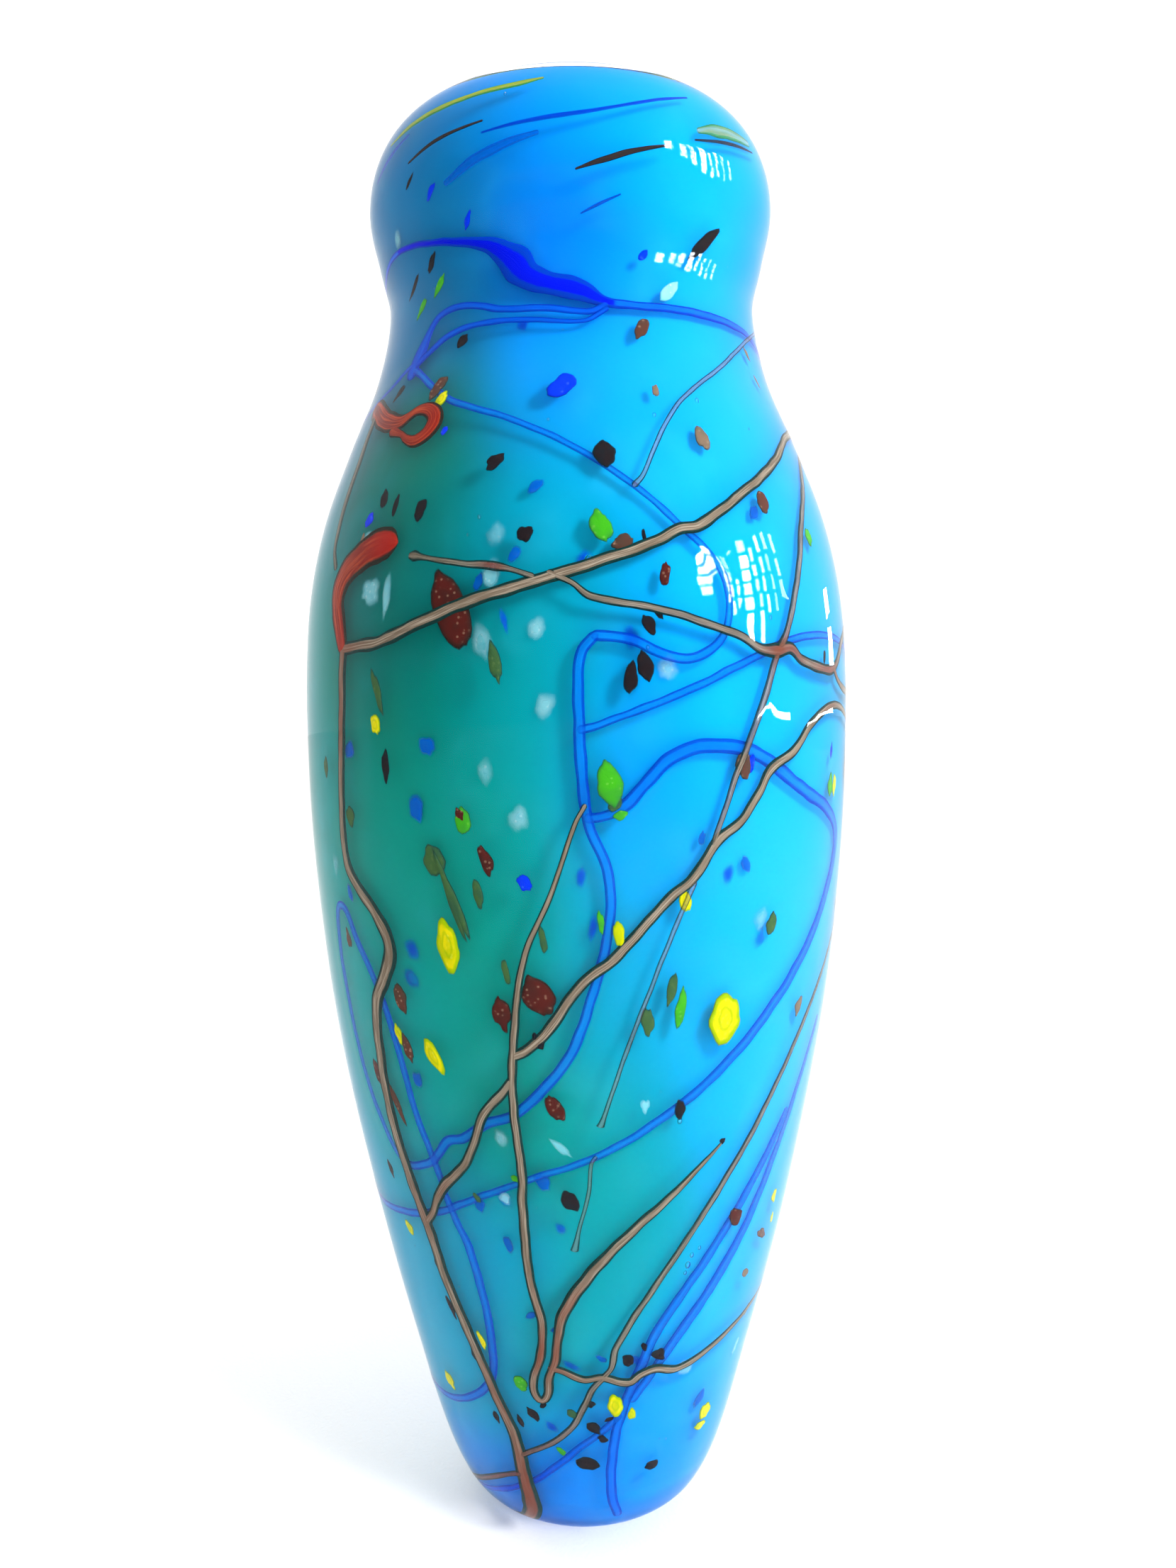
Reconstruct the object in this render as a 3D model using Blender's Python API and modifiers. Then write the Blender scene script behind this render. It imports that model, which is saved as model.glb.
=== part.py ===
"""Hand blown art glass vase, built in the layers that the glassblower gathers.

A thin bubble of blue glass is cased in clear glass. Blue threads lie on the clear gather,
and brown threads, red threads and chips of coloured glass lie over them.
Metres, +Z up. The origin is the middle of the foot, and azimuth 0 faces -Y.
Heights, radii, widths and depths below are millimetres, and azimuths are degrees.
A depth is measured inwards from the finished outer surface, square to it.
"""
import math

import bpy
from mathutils import Vector
from mathutils.geometry import interpolate_bezier

MM = 0.001
OBJECT_NAME = "art_glass_vase"

# Driving dimensions of the finished outer surface, in millimetres.
FOOT_CORNER = [(24.0, 0.0), (29.0, 3.0), (35.0, 8.0)]
TAPER_RADIUS = 35.0
BELLY_RADIUS = 75.0
BELLY_HEIGHT = 220.0
NECK_RADIUS = 50.0
NECK_HEIGHT = 334.0
HEAD_RADIUS = 55.0
HEAD_HEIGHT = 360.0
MOUTH_RADIUS = 39.0
CREST_HEIGHT = 382.0
SHOULDER_FULLNESS = 1.6
BODY_HEIGHTS = (22.0, 50.0, 85.0, 120.0, 155.0, 190.0)
SHOULDER_SPANS = 6
CREST_SPANS = 3


def wall_outline():
    """Radius and height of the outer surface, from the edge of the foot to the crest of the lip."""
    points = list(FOOT_CORNER)
    for height in BODY_HEIGHTS:
        swell = math.sin(math.pi / 2 * height / BELLY_HEIGHT)
        points.append((TAPER_RADIUS + (BELLY_RADIUS - TAPER_RADIUS) * swell, height))
    for k in range(SHOULDER_SPANS):
        part = k / SHOULDER_SPANS
        kept = (1 + math.cos(math.pi * part ** SHOULDER_FULLNESS)) / 2
        height = BELLY_HEIGHT + (NECK_HEIGHT - BELLY_HEIGHT) * part
        points.append((NECK_RADIUS + (BELLY_RADIUS - NECK_RADIUS) * kept, height))
    points.append((NECK_RADIUS, NECK_HEIGHT))
    points.append(((NECK_RADIUS + HEAD_RADIUS) / 2, (NECK_HEIGHT + HEAD_HEIGHT) / 2))
    for k in range(CREST_SPANS + 1):
        angle = math.pi / 2 * k / CREST_SPANS
        radius = MOUTH_RADIUS + (HEAD_RADIUS - MOUTH_RADIUS) * math.cos(angle)
        points.append((radius, HEAD_HEIGHT + (CREST_HEIGHT - HEAD_HEIGHT) * math.sin(angle)))
    return points


OUTLINE = wall_outline()
SPAN_STEPS = 10
TURN_STEPS = 32
OUTLINE_TOLERANCE = 0.28
THREAD_TOLERANCE = 0.2

# The layers of the wall, as depths.
BROWN_LAYER = 0.8
BROWN_THICKNESS = 0.8
BLUE_LAYER = 1.75
BLUE_THICKNESS = 0.6
CASING_OUTER = 2.2
CASING_INNER = 4.3
BUBBLE_OUTER = 4.6
BUBBLE_INNER = 6.6
LAYER_GAP = BUBBLE_OUTER - CASING_INNER

# The base and the lip. The casing comes out to the finished surface in the foot and the lip.
SHOULDER_OF_BASE = 24.0
BUBBLE_FLOOR = 12.0
FLOOR_THICKNESS = 2.0
BASE_STEPS = 4
LIP_STEPS = 5
CLEAR_LIP = 4.0
FOOT_RIM_HEIGHT = 3.0
LIP_RIM_HEIGHT = 378.0

COLOURS = {
    "blue_bubble": ((0.0, 0.36, 0.72), 0.10, 1.0),
    "clear_glass": ((0.92, 0.97, 1.0), 0.03, 0.25),
    "blue_thread": ((0.01, 0.08, 0.62), 0.08, 1.0),
    "brown_thread": ((0.30, 0.17, 0.10), 0.12, 1.0),
    "red_thread": ((0.45, 0.05, 0.02), 0.10, 1.0),
    "black_chip": ((0.012, 0.008, 0.01), 0.10, 1.0),
    "maroon_chip": ((0.10, 0.02, 0.015), 0.12, 1.0),
    "yellow_chip": ((0.72, 0.62, 0.01), 0.12, 1.0),
    "green_chip": ((0.04, 0.33, 0.02), 0.12, 1.0),
    "cobalt_chip": ((0.01, 0.06, 0.55), 0.12, 1.0),
    "white_chip": ((0.75, 0.78, 0.74), 0.15, 1.0),
}

# Threads in the upper layer: azimuth, height and width along each thread.
BROWN_THREADS = {
    "left_trunk_thread": [
        (-49.7, 241, 3.4), (-50, 228, 3.2), (-51.5, 202, 3.0), (-51, 190, 3.4), (-48, 184.5, 3.6),
        (-42.5, 178, 3.9), (-39.3, 170, 4.6), (-42, 162, 4.4), (-45.5, 155, 4.2), (-47, 142, 4.1),
        (-46.8, 125, 4.0), (-44, 108, 4.1), (-40.8, 95, 4.1), (-38.5, 82, 3.8), (-34, 67, 3.6),
        (-28, 48, 3.6), (-24, 37, 3.9), (-23, 24, 4.8), (-23, 12, 5.6), (-28, 6.8, 4.6), (-40, 5, 2.6),
    ],
    "long_diagonal_thread": [
        (-47.3, 242.4, 3.3), (-38, 243.5, 3.3), (-20, 251, 3.2), (0, 258, 3.0), (15, 264.4, 2.8),
        (19.5, 267.4, 2.9), (23.5, 268.3, 2.9), (35, 277, 2.6), (50, 287.4, 2.5), (62, 295.6, 2.3),
        (80, 300, 2.2), (97, 296, 2.1), (112, 286, 2.0), (124, 272, 1.6),
    ],
    "bulb_twig_thread": [
        (-32, 262.9, 2.0), (-30.8, 262.7, 2.6), (-29, 262.2, 1.6), (-20, 260, 1.7),
        (-14.5, 259.2, 2.2), (-11, 258.1, 1.4),
    ],
    "right_junction_thread": [
        (-0.4, 254.9, 1.5), (3, 251.8, 1.9), (15, 249, 2.0), (27, 244.8, 2.2), (31, 243.3, 2.2),
        (35, 240.7, 2.5), (39.5, 240.2, 3.6), (43.5, 240.9, 3.1), (47, 238.2, 2.8), (58, 236, 2.8),
        (63, 237.6, 2.5), (69, 244, 2.4), (77, 247.5, 2.3), (86, 244, 2.2), (94, 236, 2.0),
    ],
    "right_eye_thread": [
        (64, 233.4, 1.8), (70, 231.2, 2.2), (80, 230.6, 2.2), (88, 232.6, 2.0), (91.5, 234.6, 1.6),
    ],
    "right_upper_thread": [
        (42.6, 244.6, 2.2), (47, 256.7, 2.3), (53, 271.7, 2.3), (60, 282, 2.2), (68, 290.4, 2.2),
        (76, 293.4, 2.1), (85, 291.4, 2.1), (93, 283, 2.0), (99, 269, 1.9), (103, 255, 1.6),
    ],
    "right_descending_thread": [
        (38.5, 236.4, 2.2), (36.5, 230, 2.2), (32.5, 219, 2.1), (29.5, 211, 1.9), (26.3, 200.6, 1.6),
    ],
    "thin_descending_thread": [
        (20.1, 184, 1.4), (17, 175, 1.3), (11.5, 157, 1.2), (8.5, 146.7, 1.2), (4.8, 132.6, 1.2),
        (4, 129.4, 2.0),
    ],
    "short_bulb_thread": [
        (2, 119.8, 1.0), (1.4, 112, 1.1), (-0.8, 102, 1.1), (-1.8, 96.4, 2.0),
    ],
    "second_diagonal_thread": [
        (74, 224, 1.6), (64, 227, 2.1), (57, 226.4, 2.4), (50, 222.4, 2.6), (44.5, 216.4, 2.7),
        (38, 212.4, 2.8), (35, 207, 2.7), (31, 200.8, 2.6), (26, 196.6, 2.8), (20.5, 187.4, 2.8),
        (17, 184.4, 2.7), (6, 170, 2.8), (0, 164, 2.8), (-6, 153.4, 2.8), (-10.3, 148.4, 2.8),
    ],
    "lower_diagonal_thread": [
        (-16, 137, 2.5), (-20, 131.7, 2.6), (-23, 124, 2.5), (-26, 117.4, 2.7), (-32, 110.5, 3.0),
        (-35.5, 105.8, 2.8), (-38, 100.8, 2.5),
    ],
    "hairpin_thread": [
        (-0.3, 202, 1.2), (-5, 185, 1.4), (-10, 170.8, 1.7), (-12.4, 154, 2.2), (-13.7, 136, 2.4),
        (-12.8, 116, 2.5), (-13.3, 108, 2.6), (-13, 88, 2.6), (-10.9, 74, 2.5), (-12, 65, 2.5),
        (-14.8, 57, 2.5), (-15, 53, 2.5), (-13, 50.8, 2.5), (-10.9, 53, 2.5), (-10.1, 58, 2.5),
        (-8, 64, 2.6), (-6.6, 72, 2.7), (-5, 78.4, 3.2), (-1, 85.4, 3.5), (8, 97.2, 3.1),
        (20, 109, 2.4), (31.3, 120.4, 1.0),
    ],
    "low_cross_thread": [
        (-6.1, 60.6, 2.3), (0, 58.1, 2.5), (5, 58.6, 2.4), (13, 56, 2.8), (16.5, 58.2, 2.8),
        (21, 58.9, 2.8), (29, 57, 2.6), (45, 60.8, 2.2), (58, 64, 2.0), (74, 67, 1.8), (90, 74, 1.5),
    ],
    "right_rising_thread": [
        (7.6, 61.4, 1.8), (8.8, 67.5, 2.0), (14, 77.5, 2.1), (28, 100, 2.1), (41, 121, 2.2),
        (50, 136.7, 2.0), (60, 152, 1.9), (72, 166, 1.7), (86, 177, 1.4),
    ],
    "foot_twig_thread": [
        (2.4, 55.2, 2.0), (0, 50, 2.0), (-4, 43, 2.0), (-10, 38, 2.0), (-19.2, 33.2, 1.8),
    ],
    "foot_left_thread": [
        (-27.6, 23.9, 1.8), (-35, 20.8, 1.9), (-55, 12.4, 2.0), (-70, 8.6, 2.0), (-90, 7.4, 1.7),
        (-108, 11, 1.4),
    ],
    "thin_arch_thread": [
        (11.6, 277.2, 1.6), (13.4, 279.6, 1.2), (19, 291, 1.2), (26, 299.8, 1.2), (40, 309.4, 1.2),
        (60, 321, 1.1), (80, 328, 1.0), (100, 330, 0.9),
    ],
    "left_edge_thread": [
        (-57.6, 299, 2.4), (-57, 286, 2.5), (-57.3, 273, 2.2), (-57, 267.4, 1.8),
    ],
    "back_trunk_thread": [
        (150, 300, 2.6), (147, 282, 2.9), (157, 252, 3.2), (159, 228, 3.6), (149, 204, 3.8),
        (147, 184, 3.6), (157, 158, 3.8), (159, 136, 3.8), (152, 104, 3.7), (154, 66, 3.6),
        (151, 36, 4.0), (150, 12, 5.0),
    ],
    "back_right_thread": [
        (144, 208.6, 2.4), (134, 215, 2.5), (121, 225, 2.4), (112, 236, 2.1), (108, 246, 1.6),
    ],
    "back_rising_thread": [
        (163, 244, 2.4), (176, 250, 2.6), (192, 254, 2.5), (206, 262, 2.2), (221, 275, 2.0),
        (232, 291, 1.6),
    ],
    "back_falling_thread": [
        (164, 134.6, 2.4), (176, 128, 2.5), (190, 119, 2.3), (204, 105, 2.3), (216, 86, 2.1),
        (226, 66, 1.7),
    ],
}

RED_THREADS = {
    "red_lasso_thread": [
        (-61, 305, 4.2), (-56, 302.2, 4.1), (-50, 298.7, 3.8), (-44, 297.2, 3.2), (-41, 298, 2.2),
        (-38, 299.2, 2.1), (-34.6, 298.8, 2.8), (-32.2, 296, 3.4), (-33.2, 292.8, 3.2),
        (-36.6, 291.2, 2.4), (-39.6, 292.2, 1.6), (-41, 293.4, 1.2),
    ],
    "red_club_thread": [
        (-35.7, 266.4, 4.4), (-37.6, 266.6, 6.6), (-42, 265.8, 7.4), (-47, 263.4, 7.0), (-51, 260, 6.6),
        (-52.6, 255, 5.8), (-51.2, 248, 5.0), (-50, 243.6, 4.0),
    ],
}

# Threads in the lower layer, which pass under the brown ones.
BLUE_THREADS = {
    "neck_blue_thread": [
        (-84, 341, 1.0), (-62, 344, 1.1), (-40, 341.4, 1.4), (-28, 339, 2.0), (-22, 337.4, 3.4),
        (-16, 333.4, 6.4), (-11, 329.6, 5.2), (-3, 327.4, 4.4), (3, 326, 4.4), (8.5, 323.6, 2.4),
        (14, 322.9, 1.8), (40, 323.6, 1.8), (62, 323.4, 1.5), (80, 320, 1.3), (96, 314, 1.1),
    ],
    "neck_loop_thread": [
        (-46.8, 311.8, 4.0), (-45.2, 316, 4.2), (-43.2, 320.4, 2.4), (-40, 323.9, 2.0),
        (-33, 325.1, 1.8), (-25, 324, 1.8), (-19, 322.5, 1.8), (-6, 321.8, 1.9), (4.6, 320.8, 1.7),
    ],
    "neck_twin_thread": [
        (-42.2, 314.6, 1.9), (-36, 317.9, 1.9), (-28, 319.5, 1.7), (-14, 319.4, 1.5), (3, 318.4, 1.2),
    ],
    "neck_left_thread": [
        (-49.8, 311.8, 1.5), (-56, 308.3, 1.3), (-70, 304, 1.2), (-88, 303, 1.0),
    ],
    "shoulder_blue_thread": [
        (-43, 309.9, 1.8), (-36, 305, 1.8), (-28, 300, 1.8), (-14, 294.4, 1.7), (0, 286.8, 1.7),
        (12, 277.2, 1.7), (21, 267.4, 1.8), (27, 260, 2.0), (29, 252, 2.0), (27.5, 243.6, 2.1),
        (22.5, 238.8, 2.3), (17, 238.6, 2.4), (9, 242.6, 2.5), (3.2, 243.4, 2.5),
    ],
    "blue_drop_thread": [
        (1, 239.6, 2.5), (0.4, 230, 2.7), (0.9, 212, 2.8), (2, 201, 2.5), (5.2, 190.6, 2.5),
        (5.6, 179, 2.5), (3, 164, 2.5), (-1.6, 148, 2.6), (-7, 139, 2.6), (-14, 131.4, 2.6),
        (-20, 128.6, 2.6), (-26, 123.8, 2.6), (-30, 122.4, 2.6), (-33.2, 118.4, 2.4),
    ],
    "left_blue_loop_thread": [
        (-37.7, 114.2, 2.2), (-45, 112.4, 2.2), (-50.5, 118.6, 2.0), (-55.8, 133, 2.0),
        (-58.6, 154, 2.0), (-59, 171, 2.0), (-56, 178, 2.2), (-51, 170.6, 2.2), (-44.6, 158, 2.2),
        (-41, 144, 2.2), (-38.4, 128, 2.1), (-35.4, 117, 2.2), (-33.1, 108, 2.2),
    ],
    "left_blue_drop_thread": [
        (-31.6, 101, 2.2), (-29, 93, 2.5), (-27, 79, 2.5), (-26.8, 67, 2.5), (-28.8, 55, 2.4),
        (-36, 47.2, 2.3), (-50, 40.6, 2.1), (-70, 37.6, 1.8), (-90, 39, 1.5), (-110, 46, 1.2),
    ],
    "blue_arch_thread": [
        (4.4, 203, 2.2), (8, 204.8, 2.9), (12, 210, 3.1), (17, 216, 3.3), (24, 218.3, 3.4),
        (34, 216.5, 3.5), (48, 207, 3.5), (60, 200.4, 3.4), (65.4, 194.6, 3.3), (65.2, 186, 3.3),
        (57, 170.8, 3.2), (45, 156, 3.1), (30, 140.3, 2.8), (18, 130.6, 2.4), (4, 121.6, 2.0),
        (-12, 114.6, 1.8), (-28, 106, 2.0), (-36, 101.5, 2.2), (-50, 96.8, 2.2), (-70, 94, 2.0),
        (-96, 102, 1.5),
    ],
    "box_diagonal_thread": [
        (3.7, 223.4, 1.8), (20, 231, 2.0), (36, 239.4, 2.0), (47, 243.6, 2.0), (62, 244.4, 1.9),
        (80, 240, 1.6), (97, 230, 1.3),
    ],
    "inner_fan_thread": [
        (55, 122.4, 2.2), (49.6, 113, 2.8), (35, 91, 3.0), (21, 71, 3.0), (16.6, 60, 3.0),
        (12.6, 49, 2.9), (10.2, 40, 2.8), (9.4, 26, 2.8), (10.6, 17, 2.7), (14, 10, 2.3),
    ],
    "outer_fan_thread": [
        (67, 144, 1.9), (61.6, 132, 2.2), (54, 113, 2.9), (46.5, 95, 3.3), (38, 81, 3.5),
        (27, 66.5, 3.3), (18.2, 54.4, 2.6),
    ],
    "foot_blue_thread": [
        (7, 41.8, 2.2), (-2, 35.4, 2.2), (-18, 23.6, 2.0), (-35, 15.6, 2.0), (-52, 10.6, 1.7),
        (-70, 10, 1.3),
    ],
    "back_blue_loop_thread": [
        (198, 224, 2.2), (189, 212, 2.7), (187, 196, 2.8), (196, 178, 2.9), (212, 168, 3.0),
        (230, 171, 2.8), (244, 184, 2.4), (251, 200, 1.9),
    ],
    "back_blue_low_thread": [
        (106, 120, 2.0), (124, 124, 2.4), (146, 118, 2.6), (168, 103, 2.6), (188, 83, 2.5),
        (208, 71, 2.2), (228, 68, 1.7),
    ],
    "back_blue_neck_thread": [
        (112, 304, 1.5), (130, 308, 1.9), (144, 317, 3.4), (156, 322, 4.6), (167, 321, 3.8),
        (180, 316, 2.2), (200, 311, 1.7), (224, 306, 1.3),
    ],
}

# Streaks that the spinning of the head has drawn out of chips: material, then the thread.
STREAKS = {
    "yellow_head_streak": ("yellow_chip", [
        (-57, 369.4, 0.8), (-45, 371, 1.8), (-25, 372.1, 1.5), (-13, 372.8, 1.7), (-7, 373.6, 0.8),
    ]),
    "black_head_streak": ("black_chip", [
        (2, 352, 0.5), (8, 353.8, 1.3), (15, 356, 1.3), (25.4, 358.8, 0.5),
    ]),
}

# Chips: material, azimuth, height, length, width, and the turn of the length from level.
LOWER_CHIPS = {
    "bone_chip": ("maroon_chip", -22.8, 249.4, 15.0, 5.6, -64),
}
CHIPS = {
    "yellow_left_chip": ("yellow_chip", -25, 172.8, 12.6, 6.0, -80),
    "yellow_disc_chip": ("yellow_chip", 29.4, 153.6, 12.2, 9.8, -70),
    "yellow_slant_chip": ("yellow_chip", -30.6, 144.6, 9.6, 3.8, -60),
    "yellow_foot_chip": ("yellow_chip", 9.3, 49.5, 6.4, 4.0, -70),
    "lime_long_chip": ("green_chip", 6.4, 210.6, 9.6, 5.0, -76),
    "speckled_chip": ("maroon_chip", -7.5, 161.4, 8.8, 4.4, -52),
    "maroon_neck_chip": ("maroon_chip", 40.2, 340.2, 12.0, 3.0, 38),
    "black_cup_chip": ("black_chip", 6.2, 284.6, 6.2, 3.8, 90),
    "black_foot_chip": ("black_chip", 0.9, 30.8, 6.4, 3.2, -24),
    "black_box_chip": ("black_chip", 12, 236.4, 6.2, 3.2, -80),
    "cobalt_shoulder_chip": ("cobalt_chip", -2.2, 301.6, 7.0, 4.6, 20),
    "white_neck_chip": ("white_chip", 28.2, 327.3, 8.0, 2.2, 42),
}

CHIP_SIDES = 10


def clear_scene():
    for old in list(bpy.data.objects):
        bpy.data.objects.remove(old, do_unlink=True)


def make_material(name):
    colour, roughness, alpha = COLOURS[name]
    material = bpy.data.materials.new(name)
    material.use_nodes = True
    shader = material.node_tree.nodes["Principled BSDF"]
    shader.inputs["Base Color"].default_value = (*colour, 1.0)
    shader.inputs["Roughness"].default_value = roughness
    shader.inputs["Metallic"].default_value = 0.0
    shader.inputs["Alpha"].default_value = alpha
    return material


def smooth_curve(points, steps):
    """Points of a curve that passes smoothly through all the given points."""
    knots = [Vector(point) for point in points]
    last = len(knots) - 1
    tangents = [
        (knots[min(i + 1, last)] - knots[max(i - 1, 0)]).normalized()
        for i in range(len(knots))
    ]
    curve = []
    for i in range(last):
        reach = (knots[i + 1] - knots[i]).length / 3
        first_handle = knots[i] + tangents[i] * reach
        second_handle = knots[i + 1] - tangents[i + 1] * reach
        span = interpolate_bezier(knots[i], first_handle, second_handle, knots[i + 1], steps + 1)
        curve.extend(span[:-1])
    curve.append(knots[-1])
    return curve


def thinned(points, places, tolerance):
    """The given points without those whose places a straight run passes within the tolerance."""
    start, end = places[0], places[-1]
    along = (end - start).normalized()
    worst, worst_index = 0.0, 0
    for i in range(1, len(places) - 1):
        away = places[i] - start
        distance = (away - along * away.dot(along)).length
        if distance > worst:
            worst, worst_index = distance, i
    if worst <= tolerance:
        return [points[0], points[-1]]
    before = thinned(points[:worst_index + 1], places[:worst_index + 1], tolerance)
    after = thinned(points[worst_index:], places[worst_index:], tolerance)
    return before[:-1] + after


WALL = smooth_curve([(radius, height, 0) for radius, height in OUTLINE], SPAN_STEPS)


def wall_at(height):
    """Radius of the finished outer surface at a height, and its outward normal there."""
    for low, high in zip(WALL, WALL[1:]):
        if height <= high.y:
            break
    run = high - low
    radius = low.x + run.x * (height - low.y) / run.y
    return radius, Vector((run.y, -run.x)).normalized()


def surface_point(azimuth, height, depth):
    """A place under the finished outer surface, in millimetres."""
    radius, normal = wall_at(height)
    radius -= depth * normal.x
    angle = math.radians(azimuth)
    return Vector((radius * math.sin(angle), -radius * math.cos(angle), height - depth * normal.y))


def surface_offset(azimuth, height, across, up):
    """Azimuth and height after a move over the surface, level and then up the wall."""
    radius, normal = wall_at(height)
    return azimuth + math.degrees(across / radius), height + up * normal.x


def layer_outline(depth):
    """The wall's outline at a depth, from the lip down. Every layer has the same stations."""
    outline = []
    for point in reversed(thinned(WALL, WALL, OUTLINE_TOLERANCE)):
        i = WALL.index(point)
        run = WALL[min(i + 1, len(WALL) - 1)] - WALL[max(i - 1, 0)]
        outline.append(point + Vector((-run.y, run.x, 0)).normalized() * depth)
    return outline


def casing_outline():
    """The clear gather's outside, which leaves room for the threads between foot and lip."""
    finished = layer_outline(0)
    sunk = layer_outline(CASING_OUTER)
    outline = []
    for surface, point in zip(finished, sunk):
        clear_of_threads = not FOOT_RIM_HEIGHT < surface.y < LIP_RIM_HEIGHT
        outline.append(surface if clear_of_threads else point)
    return outline


def cut_lip(outline, length):
    """The outline without its first stretch of the given length, which is at the lip."""
    for i in range(1, len(outline)):
        step = outline[i] - outline[i - 1]
        if step.length > length:
            return [outline[i - 1] + step.normalized() * length] + outline[i:]
        length -= step.length
    return []


def rounded_base(outline, floor):
    """The outline down to the shoulder of the base, then a rounded floor to the axis."""
    wall = [point for point in outline if point.y > SHOULDER_OF_BASE]
    edge = wall[-1].x
    drop = wall[-1].y - floor
    for i in range(1, BASE_STEPS):
        angle = math.pi / 2 * i / BASE_STEPS
        wall.append(Vector((edge * math.cos(angle), floor + drop * (1 - math.sin(angle)), 0)))
    wall.append(Vector((0, floor, 0)))
    return wall


def lip_arc(crest, depth):
    """The rounded lip, from the inside of the wall over to its crest."""
    radius = depth / 2
    middle = crest - Vector((0, radius, 0))
    arc = []
    for i in range(LIP_STEPS):
        angle = math.pi * i / LIP_STEPS
        arc.append(middle - Vector((math.sin(angle), math.cos(angle), 0)) * radius)
    return arc


def place(mesh, name, material, collection):
    """A named object in the collection, with one material."""
    made = bpy.data.objects.new(name, mesh)
    made.data.materials.append(material)
    collection.objects.link(made)
    return made


def turned_piece(name, profile, material, collection):
    """A solid of revolution, whose profile starts and ends on the axis or closes on itself."""
    mesh = bpy.data.meshes.new(name)
    closes = (profile[0] - profile[-1]).length < LAYER_GAP / 10
    points = profile[:-1] if closes else profile
    edges = [(i, i + 1) for i in range(len(points) - 1)]
    if closes:
        edges.append((len(points) - 1, 0))
    mesh.from_pydata([(p.x * MM, 0, p.y * MM) for p in points], edges, [])
    made = place(mesh, name, material, collection)
    screw = made.modifiers.new("turn", "SCREW")
    screw.axis = "Z"
    screw.angle = math.tau
    screw.steps = TURN_STEPS
    screw.render_steps = TURN_STEPS
    screw.use_merge_vertices = True
    screw.merge_threshold = 0.00001
    screw.use_smooth_shade = True
    return made


def make_bubble(material, collection):
    """The blue bubble: an open vessel whose rim stops short of the clear lip."""
    underside = BUBBLE_FLOOR - FLOOR_THICKNESS
    outside = rounded_base(cut_lip(layer_outline(BUBBLE_OUTER), CLEAR_LIP), underside)
    inside = rounded_base(cut_lip(layer_outline(BUBBLE_INNER), CLEAR_LIP), BUBBLE_FLOOR)
    return turned_piece("blue_bubble", inside[::-1] + outside, material, collection)


def make_casing(material, collection):
    """The clear gather: thick in the base, and folded over the rim of the bubble at the lip."""
    inside_cut = cut_lip(layer_outline(CASING_INNER), CLEAR_LIP - LAYER_GAP)
    inside = rounded_base(inside_cut, BUBBLE_FLOOR - FLOOR_THICKNESS - LAYER_GAP)
    step = cut_lip(layer_outline(BUBBLE_INNER), CLEAR_LIP - LAYER_GAP)[0]
    outside = casing_outline()
    lip = lip_arc(outside[0], BUBBLE_INNER)
    profile = inside[::-1] + [step] + lip + outside + [Vector((0, 0, 0))]
    return turned_piece("clear_casing", profile, material, collection)


def flat_piece(name, verts, faces, thickness, material, collection):
    """A sheet that lies in its layer, thickened outwards."""
    mesh = bpy.data.meshes.new(name)
    mesh.from_pydata([vert * MM for vert in verts], [], faces)
    made = place(mesh, name, material, collection)
    solidify = made.modifiers.new("thickness", "SOLIDIFY")
    solidify.thickness = thickness * MM
    solidify.offset = 1
    solidify.use_even_offset = True
    return made


def make_thread(name, path, layer, thickness, material, collection):
    """A flattened thread of glass that follows the wall."""
    samples = smooth_curve(path, SPAN_STEPS)
    places = [surface_point(azimuth, height, layer) for azimuth, height, width in samples]
    samples = thinned(samples, places, THREAD_TOLERANCE)
    places = [surface_point(azimuth, height, layer) for azimuth, height, width in samples]
    verts = []
    for i, (azimuth, height, width) in enumerate(samples):
        along = places[min(i + 1, len(places) - 1)] - places[max(i - 1, 0)]
        angle = math.radians(azimuth)
        level = along.dot(Vector((math.cos(angle), math.sin(angle), 0)))
        rise = math.copysign(math.sqrt(max(along.length_squared - level ** 2, 0)), along.z)
        turn = math.atan2(rise, level)
        for side in (0.5, -0.5):
            across = -math.sin(turn) * width * side
            up = math.cos(turn) * width * side
            verts.append(surface_point(*surface_offset(azimuth, height, across, up), layer))
    faces = [(i, i + 1, i + 3, i + 2) for i in range(0, len(verts) - 2, 2)]
    return flat_piece(name, verts, faces, thickness, material, collection)


def make_chip(name, shape, layer, thickness, material, collection):
    """A flattened chip of coloured glass, an oval with slightly uneven corners."""
    azimuth, height, length, width, turn = shape
    cosine = math.cos(math.radians(turn))
    sine = math.sin(math.radians(turn))
    verts = [surface_point(azimuth, height, layer)]
    for i in range(CHIP_SIDES):
        angle = math.tau * i / CHIP_SIDES
        uneven = 1 - 0.08 * (i % 3)
        long = length / 2 * math.cos(angle) * uneven
        short = width / 2 * math.sin(angle) * uneven
        moved = surface_offset(azimuth, height, long * cosine - short * sine, long * sine + short * cosine)
        verts.append(surface_point(*moved, layer))
    faces = [(0, i, i % CHIP_SIDES + 1) for i in range(1, CHIP_SIDES + 1)]
    return flat_piece(name, verts, faces, thickness, material, collection)


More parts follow.
